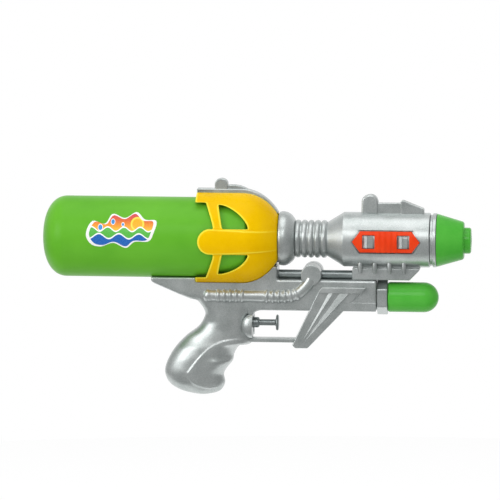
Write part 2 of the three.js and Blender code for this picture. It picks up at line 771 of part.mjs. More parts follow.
// Barrel: the solid outside, then what is hollowed out of it
function bellowsOutline() {
  const points = [];
  for (let i = 0; i < BELLOWS_RIBS; i++) {
    const rear = bellowsRear + BELLOWS_PITCH * i;
    for (const [share, depth] of BELLOWS_RIB_SHAPE) {
      points.push([rear + BELLOWS_PITCH * share, BELLOWS_RADIUS - BELLOWS_GROOVE * depth]);
    }
  }
  return points;
}

function barrelOutside() {
  const start = angleAt(barrelRear - bulbCentre, BULB_DEPTH);
  const end = angleAt(bellowsRear - bulbCentre, BULB_DEPTH);
  return turned([
    [barrelRear, 0],
    ...arc(bulbCentre, 0, BULB_DEPTH, BULB_RADIUS, start, end, 6),
    ...bellowsOutline(),
    [bellowsFront, BELLOWS_RADIUS],
    [drumRear, DRUM_RADIUS],
    [drumFront, DRUM_RADIUS],
    [drumFront, 0],
  ]);
}

function barrelInside() {
  const depth = BULB_DEPTH - SHELL_WALL;
  const radius = BULB_RADIUS - SHELL_WALL;
  const start = angleAt(barrelRear - bulbCentre, depth);
  const end = THREE.MathUtils.radToDeg(Math.asin(neckInner / radius));
  const bulb = arc(bulbCentre, 0, depth, radius, start, end, 6);
  const lip = spigotRadius + CLEARANCE;
  return turned([
    [barrelRear - LAP, 0],
    [barrelRear - LAP, bulb[0][1]],
    ...bulb,
    [bellowsFront, neckInner],
    [drumRear, drumBore],
    [drumFront - LIP_LENGTH, drumBore],
    [drumFront - LIP_LENGTH, lip],
    [drumFront + LAP, lip],
    [drumFront + LAP, 0],
  ]);
}

function spine() {
  const shell = turned([
    [coverRear, coverRadius + SPINE_RISE],
    ...domeOutline(SPINE_RISE),
    [bulbCentre, BULB_RADIUS - LAP],
    [bulbCentre, BULB_RADIUS - LAP - SHELL_WALL],
    ...domeOutline(-COVER_WALL).reverse(),
    [coverRear, coverInner],
  ]);
  const top = coverRadius + SPINE_RISE;
  const rear = coverRear + REAR_SIGHT_OFFSET;
  const front = rear + REAR_SIGHT_LENGTH;
  const radius = REAR_SIGHT_LENGTH / 2;
  const post = new THREE.Shape();
  post.moveTo(rear, coverInner + LAP);
  post.lineTo(rear, top + REAR_SIGHT_HEIGHT - radius);
  post.absarc(rear + radius, top + REAR_SIGHT_HEIGHT - radius, radius, Math.PI, 0, true);
  post.lineTo(front, top + SIGHT_TAIL_HEIGHT);
  post.lineTo(front + SIGHT_TAIL_FLAT, top + SIGHT_TAIL_HEIGHT);
  post.lineTo(front + SIGHT_TAIL_LENGTH, coverInner + LAP);
  const strip = block(coverRear, bulbCentre, -SPINE_HALF_WIDTH, SPINE_HALF_WIDTH, 0, FAR);
  return join(shell.intersect(strip), prism(post, -SPINE_HALF_WIDTH, SPINE_HALF_WIDTH, EDGE_BEVEL));
}

function frontSight() {
  const rear = drumRear + SIGHT_SETBACK;
  const base = drumBore + SHELL_WALL / 2;
  const deck = DRUM_RADIUS + SIGHT_DECK_HEIGHT;
  const postFront = rear + SIGHT_POST_LENGTH;
  const rampRear = postFront + SIGHT_DECK_LENGTH;
  const rampFront = rampRear + SIGHT_RAMP_LENGTH;
  const crown = DRUM_RADIUS + SIGHT_POST_HEIGHT + LAP;
  const shape = new THREE.Shape();
  shape.moveTo(rear, base);
  shape.lineTo(rear + SIGHT_LEAN, DRUM_RADIUS + SIGHT_POST_SHOULDER);
  shape.bezierCurveTo(rear + SIGHT_LEAN, crown, postFront - SIGHT_POST_CROWN, crown, postFront, deck);
  shape.lineTo(rampRear, deck);
  shape.lineTo(rampRear + SIGHT_RAMP_LEAD, DRUM_RADIUS + SIGHT_RAMP_HEIGHT);
  shape.lineTo(rampFront, DRUM_RADIUS + SIGHT_RAMP_END);
  shape.lineTo(rampFront + SIGHT_LEAN, base);
  return prism(shape, -SIGHT_HALF_WIDTH, SIGHT_HALF_WIDTH, EDGE_BEVEL);
}

function rail() {
  const top = -DRUM_RADIUS - CLEARANCE;
  const front = railRear + RAIL_LENGTH;
  const shape = outline([
    [railRear, top],
    [railRear, railBottom],
    [front, railBottom],
    [front + RAIL_SLOPE, top],
  ]);
  const web = block(railRear + LAP, front, -RAIL_WEB_HALF, RAIL_WEB_HALF, top - LAP, -drumBore);
  const tabRear = railRear + TAB_LEAD;
  const tabFront = tabRear + TAB_LENGTH;
  const tab = block(tabRear, tabFront, -TAB_HALF_WIDTH, TAB_HALF_WIDTH, railBottom - TAB_DEPTH, top);
  let made = join(prism(shape, -RAIL_HALF_WIDTH, RAIL_HALF_WIDTH, EDGE_BEVEL), web, tab);
  for (let i = 0; i < RAIL_RIBS; i++) {
    for (const side of [-1, 1]) {
      const rib = new THREE.SphereGeometry(1, 6, 4).rotateX(Math.PI / 2);
      rib.scale(RAIL_RIB_RADIUS, RAIL_RIB_BULGE, RAIL_RIB_HALF_HEIGHT);
      const x = railRear + RAIL_RIB_LEAD + RAIL_RIB_PITCH * i;
      rib.translate(x, side * RAIL_HALF_WIDTH, top + RAIL_RIB_RISE);
      made = made.add(solid(rib));
    }
  }
  return made;
}

function panelShape(grow) {
  const half = PANEL_HALF_LENGTH + grow;
  const height = PANEL_HALF_HEIGHT + grow;
  const flat = half - PANEL_POINT;
  return outline([
    [panelCentre - half, 0],
    [panelCentre - flat, -height],
    [panelCentre + flat, -height],
    [panelCentre + half, 0],
    [panelCentre + flat, height],
    [panelCentre - flat, height],
  ]);
}

// Prisms through the two windows of a panel, larger or smaller than the windows
function panelWindows(grow) {
  const half = PANEL_WINDOW_HALF + grow;
  const height = PANEL_WINDOW_HALF_HEIGHT + grow;
  const window = (centre) => block(centre - half, centre + half, -FAR, FAR, -height, height);
  return join(window(panelCentre - PANEL_WINDOW_OFFSET), window(panelCentre + PANEL_WINDOW_OFFSET));
}

const panelOuter = DRUM_RADIUS + PANEL_PROUD;
const panelInner = panelOuter - PANEL_THICKNESS;
const pocketFloor = panelInner - CLEARANCE;

function barrel() {
  const belt = (inner, outer) => tube(drumRear, drumFront, inner, outer, ROUND);
  const pocket = belt(pocketFloor, FAR).intersect(prism(panelShape(CLEARANCE), -FAR, FAR));
  const teeth = belt(pocketFloor - CLEARANCE, DRUM_RADIUS).intersect(panelWindows(-CLEARANCE * 2));
  const outside = join(cut(barrelOutside(), pocket), spine(), frontSight(), rail());
  return join(cut(outside, barrelInside()), teeth);
}

// The part of a screw boss that lies within the drum, joined to its wall
function barrelHalf(side) {
  const filled = rod(drumRear, drumFront, DRUM_RADIUS - SHELL_WALL / 2, ROUND);
  let half = barrelWhole;
  for (const at of barrelScrews) half = half.add(screwBoss(at, side).intersect(filled));
  for (const at of barrelScrews) half = half.subtract(screwHole(at, side));
  return halves[side](half);
}

function barrelPanel() {
  const belt = tube(drumRear, drumFront, panelInner, panelOuter, ROUND);
  return cut(belt.intersect(prism(panelShape(0), -FAR, FAR)), panelWindows(0));
}

const barrelWhole = barrel();
const panelBelt = barrelPanel();
for (const side of ["right", "left"]) {
  barrelLine.add(mesh(`barrel_shell_${side}`, barrelHalf(side), silver));
  barrelLine.add(mesh(`barrel_panel_${side}`, halves[side](panelBelt), orange));
}

// Muzzle ring, nozzle and jet
function muzzleRing() {
  const bore = spigotRadius + CLEARANCE;
  return turned([
    [ringRear, bore],
    [ringRear, DRUM_RADIUS - GROOVE_DEPTH],
    [ringRear + GROOVE_LENGTH, DRUM_RADIUS - GROOVE_DEPTH],
    [ringRear + GROOVE_LENGTH + RING_EDGE, DRUM_RADIUS - RING_INSET],
    [ringFront, DRUM_RADIUS - RING_INSET],
    [ringFront, bore],
  ]);
}

const jetSeat = nozzleFront - NOZZLE_WALL;

function nozzle() {
  const flange = spigotRadius + FLANGE_RISE;
  const jetBore = JET_RADIUS + CLEARANCE;
  return turned([
    [flangeFront - FLANGE_LENGTH, SPIGOT_BORE],
    [flangeFront - FLANGE_LENGTH, flange],
    [flangeFront, flange],
    [flangeFront, spigotRadius],
    [nozzleRear, spigotRadius],
    [nozzleRear, NOZZLE_RADIUS],
    [nozzleFront - NOZZLE_EDGE, NOZZLE_FRONT_RADIUS],
    [nozzleFront, NOZZLE_FRONT_RADIUS - NOZZLE_EDGE],
    [nozzleFront, TIP_RADIUS],
    [tipFront - TIP_EDGE, TIP_RADIUS],
    [tipFront, TIP_RADIUS - TIP_EDGE],
    [tipFront, jetBore],
    [jetSeat, jetBore],
    [jetSeat, NOZZLE_FRONT_RADIUS - 2 * NOZZLE_WALL],
    [nozzleRear + NOZZLE_WALL, SPIGOT_BORE],
  ]);
}

const jetFlangeRear = jetSeat - CLEARANCE - JET_FLANGE_LENGTH;
const jetRear = jetFlangeRear - JET_TAIL;

function nozzleJet() {
  return turned([
    [jetRear, JET_BORE],
    [jetRear, HOSE_RADIUS],
    [jetFlangeRear, HOSE_RADIUS],
    [jetFlangeRear, JET_FLANGE],
    [jetSeat - CLEARANCE, JET_FLANGE],
    [jetSeat - CLEARANCE, JET_RADIUS],
    [tipFront - JET_SETBACK, JET_RADIUS],
    [tipFront - JET_SETBACK, JET_BORE],
  ], SMALL_ROUND);
}

barrelLine.add(
  mesh("muzzle_ring", muzzleRing(), silver),
  mesh("nozzle_cone", nozzle(), green),
  mesh("nozzle_jet", nozzleJet(), white),
);

// Frame: the solid outside of receiver, grip, guard, fin, boss and moulded pipe
function receiverShape() {
  const tailTop = TAIL_UNDERSIDE[0][1];
  const shape = outline(TAIL_UNDERSIDE);
  shape.quadraticCurveTo(...TAIL_CURVE, ...GRIP_BACK[1]);
  shape.lineTo(RECEIVER_ROOT_REAR, RECEIVER_ROOT);
  shape.lineTo(TRIGGER_FACE, RECEIVER_ROOT);
  shape.quadraticCurveTo(TRIGGER_FACE, receiverBottom, TRIGGER_FACE + GUARD_ROOF_RADIUS, receiverBottom);
  shape.lineTo(RECEIVER_FRONT, receiverBottom);
  shape.lineTo(RECEIVER_FRONT, RECEIVER_TOP);
  shape.lineTo(COVER_FRONT - CLEARANCE, RECEIVER_TOP);
  shape.lineTo(COVER_FRONT - CLEARANCE, BLOCK_TOP);
  shape.lineTo(domeStart, BLOCK_TOP);
  shape.lineTo(domeStart - BLOCK_SLOPE, tailTop);
  return shape;
}

const curveThrough = (points) => new THREE.SplineCurve(points.map(([x, z]) => new THREE.Vector2(x, z)));

function grip(inset) {
  const back = curveThrough(GRIP_BACK);
  const front = curveThrough(GRIP_FRONT);
  const widths = curveThrough(GRIP_HALF_WIDTHS.map((width, i) => [i, width]));
  const rings = [];
  for (let i = 0; i <= GRIP_SECTIONS; i++) {
    const share = i / GRIP_SECTIONS;
    const rear = back.getPointAt(share);
    const fore = front.getPointAt(share);
    const centre = rear.clone().add(fore).multiplyScalar(0.5);
    const along = fore.clone().sub(rear).normalize();
    const length = rear.distanceTo(fore) / 2 - inset;
    const width = widths.getPoint(share).y - inset;
    if (length <= inset || width <= inset) continue;
    const ring = [];
    for (let j = 0; j < GRIP_ROUND; j++) {
      const angle = (2 * Math.PI * j) / GRIP_ROUND;
      const bow = (v) => Math.sign(v) * Math.abs(v) ** (2 / GRIP_FULLNESS);
      const reach = length * bow(Math.cos(angle));
      const across = width * bow(Math.sin(angle));
      ring.push(new THREE.Vector3(centre.x + along.x * reach, across, centre.y + along.y * reach));
    }
    rings.push(ring);
  }
  return loft(rings);
}

// A side outline whose half width changes evenly from its foot to its head
function tapered(shape, footHalf, headHalf, foot, head) {
  const geometry = new THREE.ExtrudeGeometry(shape, { depth: 2, bevelEnabled: false, steps: 1 });
  geometry.rotateX(Math.PI / 2).translate(0, 1, 0);
  const points = geometry.getAttribute("position");
  for (let i = 0; i < points.count; i++) {
    const share = (points.getZ(i) - foot) / (head - foot);
    points.setY(i, points.getY(i) * (footHalf + (headHalf - footHalf) * share));
  }
  return solid(geometry);
}

function finShape() {
  const front = FIN_FOOT_REAR + FIN_FOOT_LENGTH;
  return outline([
    [FIN_FOOT_REAR, FIN_FOOT + FIN_FOOT_CORNER],
    [FIN_FOOT_REAR + FIN_FOOT_CORNER, FIN_FOOT],
    [front - FIN_FOOT_CORNER, FIN_FOOT],
    [front, FIN_FOOT + FIN_FOOT_CORNER],
    [FIN_HEAD_REAR + FIN_HEAD_LENGTH, FIN_HEAD],
    [FIN_HEAD_REAR, FIN_HEAD - FIN_HEAD_DROP],
  ]);
}

// Half width of the fin at a height
function finHalf(z) {
  const share = (z - FIN_FOOT) / (FIN_HEAD - FIN_FOOT);
  return FIN_FOOT_HALF + (FIN_TOP_HALF - FIN_FOOT_HALF) * share;
}

function finRidge([rear, crest, front], i, side) {
  const [endX, endZ] = FIN_RIDGE_END;
  const x = endX + FIN_RIDGE_STEP * i;
  const corner = (px, rise, z) => new THREE.Vector3(px, side * (finHalf(z) + rise), z);
  const toe = [
    corner(x - FIN_RIDGE_TOE, -LAP, endZ),
    corner(x, FIN_RIDGE_TOE, endZ),
    corner(x + FIN_RIDGE_TOE, -LAP, endZ),
  ];
  const head = [
    corner(rear, -CLEARANCE, FIN_BAND),
    corner(crest, FIN_RELIEF, FIN_BAND),
    corner(front, -CLEARANCE, FIN_BAND),
  ];
  return loft([toe, head]);
}

// The fin with the raised band at its head and the ridges that run down from it
function fin() {
  const core = tapered(finShape(), FIN_FOOT_HALF, FIN_TOP_HALF, FIN_FOOT, FIN_HEAD);
  const bandHalf = FIN_TOP_HALF + FIN_RELIEF;
  const above = block(-FAR, FAR, -FAR, FAR, FIN_BAND - LAP, FAR);
  const band = prism(finShape(), -bandHalf, bandHalf).intersect(above);
  const ridges = [-1, 1].flatMap((side) => FIN_RIDGES.map((edges, i) => finRidge(edges, i, side)));
  return join(core, band, ...ridges);
}

function mouldedPipe(side) {
  const y = side * (RECEIVER_HALF_WIDTH - PIPE_SINK);
  const path = route([
    [PIPE_REAR, y, pumpHeight],
    ...PIPE_BENDS.map(([x, rise]) => [x, y, pumpHeight + rise]),
    [BOSS_X - BOSS_RADIUS / 2, y, BOSS_HEIGHT - BOSS_RADIUS * 1.25],
    [BOSS_X, y, BOSS_HEIGHT - BOSS_RADIUS / 2],
  ]);
  let made = swept(path, 14, PIPE_RADIUS, 0, PIPE_SIDES);
  for (const [rear, count] of PIPE_RIB_GROUPS) {
    for (let i = 0; i < count; i++) {
      const x = rear + PIPE_RIB_PITCH * i;
      const rib = new THREE.CylinderGeometry(1, 1, PIPE_RIB_LENGTH, PIPE_SIDES).rotateZ(Math.PI / 2);
      rib.scale(1, PIPE_RADIUS + PIPE_RIB_RISE, PIPE_RADIUS + PIPE_RIB_RISE);
      made = made.add(solid(rib.translate(x, y, pumpHeight)));
    }
  }
  return made;
}

// The room that the tank, its socket and the covers keep free
function tankRoom(grow) {
  const gap = grow + CLEARANCE * 2;
  const reach = socketRadius + gap;
  return turned([
    [tankRear - TANK_TAIL * 2, 0],
    [tankRear - TANK_TAIL * 2, TANK_RADIUS + gap],
    ...shoulderOutline(gap).filter(([, radius]) => radius > reach),
    [shoulderEnd + gap, reach],
    [COVER_FRONT + LAP, reach],
    [COVER_FRONT + LAP, 0],
  ]);
}

function coverRoom(grow, half) {
  const gap = grow + CLEARANCE;
  const shell = turned([
    [coverRear - CLEARANCE, 0],
    [coverRear - CLEARANCE, coverRadius + gap],
    ...domeOutline(gap),
    [COVER_FRONT + LAP, domeOutline(gap).at(-1)[1]],
    [COVER_FRONT + LAP, 0],
  ]);
  return cut(shell, block(-FAR, FAR, -half, half, -FAR, 0));
}

function frameOutside() {
  const body = prism(receiverShape(), -RECEIVER_HALF_WIDTH, RECEIVER_HALF_WIDTH, RECEIVER_BEVEL);
  const housing = turned([
    [TRIGGER_FACE - HOUSING_LENGTH, 0],
    [TRIGGER_FACE - HOUSING_LENGTH, HOUSING_REAR_RADIUS],
    [TRIGGER_FACE, HOUSING_RADIUS],
    [TRIGGER_FACE, 0],
  ], ROUND, triggerHeight);
  const guardTop = GUARD_BOTTOM + GUARD_THICKNESS;
  const guardRear = TRIGGER_FACE - GUARD_ROOT;
  const guardFront = FIN_FOOT_REAR + GUARD_ROOT;
  const guard = block(guardRear, guardFront, -GUARD_HALF_WIDTH, GUARD_HALF_WIDTH, GUARD_BOTTOM, guardTop);
  const boss = pin(BOSS_X, BOSS_HEIGHT, -BOSS_HALF_WIDTH, BOSS_HALF_WIDTH, BOSS_RADIUS, ROUND);
  const trimmed = cut(body, coverRoom(0, WEB_HALF_WIDTH), tankRoom(0));
  return join(trimmed, grip(0), housing, guard, fin(), boss, mouldedPipe(-1), mouldedPipe(1));
}

function frameInside() {
  const half = RECEIVER_HALF_WIDTH - SHELL_WALL;
  const webHalf = WEB_HALF_WIDTH - SHELL_WALL;
  const floor = receiverBottom + SHELL_WALL;
  const ceiling = RECEIVER_TOP - SHELL_WALL;
  const webFront = COVER_FRONT - CLEARANCE - SHELL_WALL;
  const pumpBay = block(webFront - LAP, RECEIVER_FRONT - FRONT_WALL, -half, half, floor, ceiling);
  const hoseBay = block(HOSE_BAY_REAR, webFront, -half, half, floor, BLOCK_TOP - SHELL_WALL);
  const wideBay = cut(hoseBay, coverRoom(SHELL_WALL, webHalf), tankRoom(SHELL_WALL));
  const shaftRear = nippleX - 3 * HOSE_RADIUS;
  const shaft = block(shaftRear, webFront, -webHalf, webHalf, RECEIVER_TOP, BLOCK_TOP + LAP);
  const tailHollow = prism(outline(TAIL_BAY), -half, half);
  const tailBay = cut(tailHollow, tankRoom(SHELL_WALL), coverRoom(SHELL_WALL, webHalf));
  const valveHole = VALVE_RADIUS + CLEARANCE;
  const valveBay = rod(valveRear - CLEARANCE, valveFront + CLEARANCE, valveHole, ROUND, triggerHeight);
  const bushHole = rod(valveFront, TRIGGER_FACE + LAP, BUSH_RADIUS + CLEARANCE, SMALL_ROUND, triggerHeight);
  const portHalf = HOSE_RADIUS + PORT_ROOM;
  const portBay = block(valveRear, valveFront - PORT_ROOM, -portHalf, portHalf, triggerHeight, floor + LAP);
  const pumpHole = rod(webFront, RECEIVER_FRONT + LAP, pumpRadius + CLEARANCE, ROUND, pumpHeight);
  const rodHole = rod(COVER_FRONT - LAP, railRear + LAP, ROD_RADIUS + CLEARANCE, SMALL_ROUND, ROD_HEIGHT);
  const tabRear = railRear + TAB_LEAD - CLEARANCE;
  const tabHalf = TAB_HALF_WIDTH + CLEARANCE;
  const tabFront = tabRear + TAB_LENGTH + 2 * CLEARANCE;
  const tabHole = block(tabRear, tabFront, -tabHalf, tabHalf, ceiling - LAP, RECEIVER_TOP + LAP);
  const finBay = tapered(
    outline(FIN_BAY),
    FIN_FOOT_HALF - SHELL_WALL, FIN_TOP_HALF - 2 * SHELL_WALL, FIN_FOOT, FIN_HEAD,
  );
  return join(
    pumpBay, wideBay, shaft, tailBay, grip(SHELL_WALL),
    valveBay, bushHole, portBay, pumpHole, rodHole, tabHole, finBay,
  );
}

const frameOuter = frameOutside();
const frameInner = frameInside();

function frameHalf(side) {
  let half = cut(frameOuter, frameInner);
  for (const at of frameScrews) half = half.add(screwBoss(at, side));
  for (const at of frameScrews) half = half.subtract(screwHole(at, side));
  return halves[side](half);
}

for (const side of ["right", "left"]) {
  barrelLine.add(mesh(`frame_shell_${side}`, frameHalf(side), silver));
}

const braceRod = rod(COVER_FRONT, railRear - CLEARANCE, ROD_RADIUS, SMALL_ROUND, ROD_HEIGHT);
barrelLine.add(mesh("brace_rod", braceRod, silver));

[...frameScrews, ...barrelScrews].forEach((at, i) => {
  barrelLine.add(mesh(`case_screw_${i + 1}`, screw(at), steel));
});

// Pump
const checkFront = pumpRear - CLEARANCE;
const checkRear = checkFront - CHECK_LENGTH;
const neckRear = pumpRear - PUMP_NECK_LENGTH;
const ringSeat = pistonRear + (PISTON_LENGTH - PISTON_GROOVE) / 2;

function pumpCylinder() {
  return turned([
    [neckRear, PASSAGE_RADIUS],
    [neckRear, PUMP_NECK_RADIUS],
    [pumpRear, PUMP_NECK_RADIUS],
    [pumpRear, pumpRadius],
    [pumpFront, pumpRadius],
    [pumpFront, PUMP_BORE],
    [pumpRear + PUMP_END_WALL, PUMP_BORE],
    [pumpRear + PUMP_END_WALL, PASSAGE_RADIUS],
  ], ROUND);
}

function collarNut() {
  const hexagon = new THREE.Shape();
  for (let i = 0; i < 6; i++) {
    const angle = (Math.PI / 3) * i;
    const [y, z] = [NUT_CORNER_RADIUS * Math.sin(angle), NUT_CORNER_RADIUS * Math.cos(angle)];
    if (i === 0) hexagon.moveTo(y, z);
    else hexagon.lineTo(y, z);
  }
  const bar = new THREE.ExtrudeGeometry(hexagon, {
    depth: NUT_LENGTH - 2 * NUT_BEVEL,
    bevelThickness: NUT_BEVEL,
    bevelSize: NUT_BEVEL,
    bevelOffset: -NUT_BEVEL,
    bevelSegments: 1,
  });
  const axes = new THREE.Matrix4().makeBasis(
    new THREE.Vector3(0, 1, 0), new THREE.Vector3(0, 0, 1), new THREE.Vector3(1, 0, 0),
  );
  return cut(
    solid(bar.applyMatrix4(axes).translate(nutRear + NUT_BEVEL, 0, 0)),
    rod(nutRear - LAP, pumpFront + CLEARANCE, pumpRadius + CLEARANCE, ROUND),
    rod(nutRear - LAP, nutFront + LAP, PUMP_ROD_RADIUS + ROD_GAP, SMALL_ROUND),
  );
}

function pumpPiston() {
  const land = PUMP_BORE - CLEARANCE;
  return turned([
    [pistonRear, PISTON_STUD + CLEARANCE],
    [pistonRear, land],
    [ringSeat, land],
    [ringSeat, land - PISTON_GROOVE],
    [ringSeat + PISTON_GROOVE, land - PISTON_GROOVE],
    [ringSeat + PISTON_GROOVE, land],
    [pistonFront, land],
    [pistonFront, PISTON_STUD + CLEARANCE],
  ], SMALL_ROUND);
}

function pistonRing() {
  const rear = ringSeat + CLEARANCE;
  const front = ringSeat + PISTON_GROOVE - CLEARANCE;
  return tube(rear, front, PUMP_BORE - PISTON_GROOVE, PUMP_BORE - SEAL_GAP);
}

const rodFront = handleRear + ROD_IN_HANDLE;

function pumpRod() {
  return turned([
    [pistonRear + PISTON_STUD_SETBACK, 0],
    [pistonRear + PISTON_STUD_SETBACK, PISTON_STUD],
    [pistonFront + CLEARANCE, PISTON_STUD],
    [pistonFront + CLEARANCE, PUMP_ROD_RADIUS],
    [rodFront, PUMP_ROD_RADIUS],
    [rodFront, 0],
  ]);
}

function pumpHandle() {
  const noseRear = handleRear + HANDLE_LENGTH - HANDLE_RADIUS;
  const bore = PUMP_ROD_RADIUS + CLEARANCE;
  const boss = bore + HANDLE_BOSS_WALL;
  const inner = HANDLE_RADIUS - HANDLE_WALL;
  return turned([
    [rodFront + CLEARANCE, 0],
    [rodFront + CLEARANCE, bore],
    [handleRear + HANDLE_BOSS_SETBACK, bore],
    [handleRear + HANDLE_BOSS_SETBACK, boss],
    [rodFront + CLEARANCE + HANDLE_WALL, boss],
    [rodFront + CLEARANCE + HANDLE_WALL, inner],
    [handleRear, inner],
    [handleRear, HANDLE_RADIUS - HANDLE_EDGE],
    [handleRear + HANDLE_EDGE, HANDLE_RADIUS],
    ...arc(noseRear, 0, HANDLE_RADIUS, HANDLE_RADIUS, 90, 0, 6),
  ]);
}

function checkValveBody() {
  const throat = neckRear - CLEARANCE - FLAP_THICKNESS - FLAP_LIFT;
  return turned([
    [checkRear, PASSAGE_RADIUS],
    [checkRear, HOSE_RADIUS],
    [checkRear + CHECK_SPIGOT, HOSE_RADIUS],
    [checkRear + CHECK_SPIGOT, CHECK_RADIUS],
    [checkFront, CHECK_RADIUS],
    [checkFront, PUMP_NECK_RADIUS + CLEARANCE],
    [throat, PUMP_NECK_RADIUS + CLEARANCE],
    [throat, PASSAGE_RADIUS],
  ], SMALL_ROUND);
}

const checkFlap = rod(neckRear - CLEARANCE - FLAP_THICKNESS, neckRear - CLEARANCE, FLAP_RADIUS);

pumpLine.add(
  mesh("pump_cylinder", pumpCylinder(), white),
  mesh("pump_collar_nut", collarNut(), silver),
  mesh("pump_piston", pumpPiston(), white),
  mesh("piston_ring", pistonRing(), rubber),
  mesh("pump_rod", pumpRod(), white),
  mesh("pump_handle", pumpHandle(), green),
  mesh("check_valve_body", checkValveBody(), white),
  mesh("check_valve_flap", checkFlap, rubber),
);

// Trigger and its valve
const inletX = valveRear + VALVE_PORT_LEAD;
const outletX = inletX + VALVE_PORT_SPACING;
const portTop = VALVE_RADIUS + NIPPLE_LENGTH;

function valveBody() {
  const cup = turned([
    [valveRear, 0],
    [valveRear, VALVE_RADIUS],
    [valveFront, VALVE_RADIUS],
    [valveFront, VALVE_BORE],
    [valveRear + VALVE_END_WALL, VALVE_BORE],
    [valveRear + VALVE_END_WALL, 0],
  ], SMALL_ROUND);
  const port = (x) => post(x, 0, VALVE_BORE + LAP, portTop, NIPPLE_RADIUS, TUBE_SIDES);
  const hole = (x) => post(x, 0, 0, portTop + LAP, NIPPLE_RADIUS / 2, TUBE_SIDES);
  return cut(join(cup, port(inletX), port(outletX)), hole(inletX), hole(outletX));
}

function triggerBush() {
  const bore = STEM_RADIUS + CLEARANCE;
  return turned([
    [valveFront - BUSH_PLUG, bore],
    [valveFront - BUSH_PLUG, VALVE_BORE - CLEARANCE],
    [valveFront, VALVE_BORE - CLEARANCE],
    [valveFront, BUSH_RADIUS],
    [bushFront - BUSH_EDGE, BUSH_RADIUS],
    [bushFront, BUSH_RADIUS - BUSH_EDGE],
    [bushFront, bore],
  ], SMALL_ROUND);
}

const sealGroove = SEAL_WIRE + CLEARANCE;
const stemRear = sealCentre - sealGroove - STEM_LAND;

function trigger() {
  const land = VALVE_BORE - 2 * CLEARANCE;
  const headFront = headRear + HEAD_LENGTH;
  return turned([
    [stemRear, 0],
    [stemRear, land],
    [sealCentre - sealGroove, land],
    [sealCentre - sealGroove, STEM_RADIUS],
    [sealCentre + sealGroove, STEM_RADIUS],
    [sealCentre + sealGroove, land],
    [sealCentre + sealGroove + STEM_LAND, land],
    [sealCentre + sealGroove + STEM_LAND, STEM_RADIUS],
    [headRear, STEM_RADIUS],
    [headRear, HEAD_RADIUS - HEAD_EDGE],
    [headRear + HEAD_EDGE, HEAD_RADIUS],
    [headFront - HEAD_EDGE, HEAD_RADIUS],
    [headFront, HEAD_RADIUS - 2 * HEAD_EDGE],
    [headFront, 0],
  ], SMALL_ROUND);
}

function valveSeal() {
  const bore = STEM_RADIUS + CLEARANCE;
  return tube(sealCentre - SEAL_WIRE, sealCentre + SEAL_WIRE, bore, VALVE_BORE - SEAL_GAP);
}

function triggerSpring() {
  const rear = valveRear + VALVE_END_WALL + CLEARANCE + SPRING_WIRE;
  const front = stemRear - CLEARANCE - SPRING_WIRE;
  const points = [];
  const steps = SPRING_TURNS * SPRING_STEPS;
  for (let i = 0; i <= steps; i++) {
    const angle = (2 * Math.PI * i) / SPRING_STEPS;
    const x = rear + ((front - rear) * i) / steps;
    points.push([x, SPRING_RADIUS * Math.cos(angle), SPRING_RADIUS * Math.sin(angle)]);
  }
  return swept(route(points), steps, SPRING_WIRE, 0, SPRING_SIDES);
}

triggerLine.add(
  mesh("valve_body", valveBody(), white),
  mesh("trigger_bush", triggerBush(), silver),
  mesh("trigger", trigger(), silver),
  mesh("valve_seal", valveSeal(), rubber),
  mesh("trigger_spring", triggerSpring(), steel),
);

// Hoses inside the body
const socketLevel = nippleEnd - CLEARANCE;
const valveLevel = triggerHeight + portTop + CLEARANCE;

const supplyHose = route([
  [nippleX, -HOSE_SPREAD, socketLevel],
  [nippleX, -HOSE_SPREAD, socketLevel - HOSE_LEAD],
  ...SUPPLY_WAY,
  [inletX, 0, valveLevel + HOSE_LEAD],
  [inletX, 0, valveLevel],
]);
const airHose = route([
  [checkRear - CLEARANCE, 0, pumpHeight],
  [checkRear - HOSE_LEAD, 0, pumpHeight],
  ...AIR_WAY,
  [nippleX, HOSE_SPREAD, socketLevel - HOSE_LEAD],
  [nippleX, HOSE_SPREAD, socketLevel],
]);
const jetHose = route([
  [outletX, 0, valveLevel],
  [outletX, 0, valveLevel + HOSE_LEAD],
  ...JET_WAY,
  [bellowsFront - BELLOWS_RADIUS, 0, 0],
  [drumRear, 0, 0],
  [panelCentre, 0, 0],
  [jetRear - CLEARANCE, 0, 0],
]);
barrelLine.add(
  mesh("supply_hose", swept(supplyHose, 22, HOSE_RADIUS, HOSE_BORE), clear),
  mesh("air_hose", swept(airHose, 18, HOSE_RADIUS, HOSE_BORE), clear),
  mesh("jet_hose", swept(jetHose, 30, HOSE_RADIUS, HOSE_BORE), clear),
);

export default part;
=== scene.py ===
import json
import math

import bmesh
import bpy
from mathutils import Matrix, Vector
from mathutils.geometry import interpolate_bezier


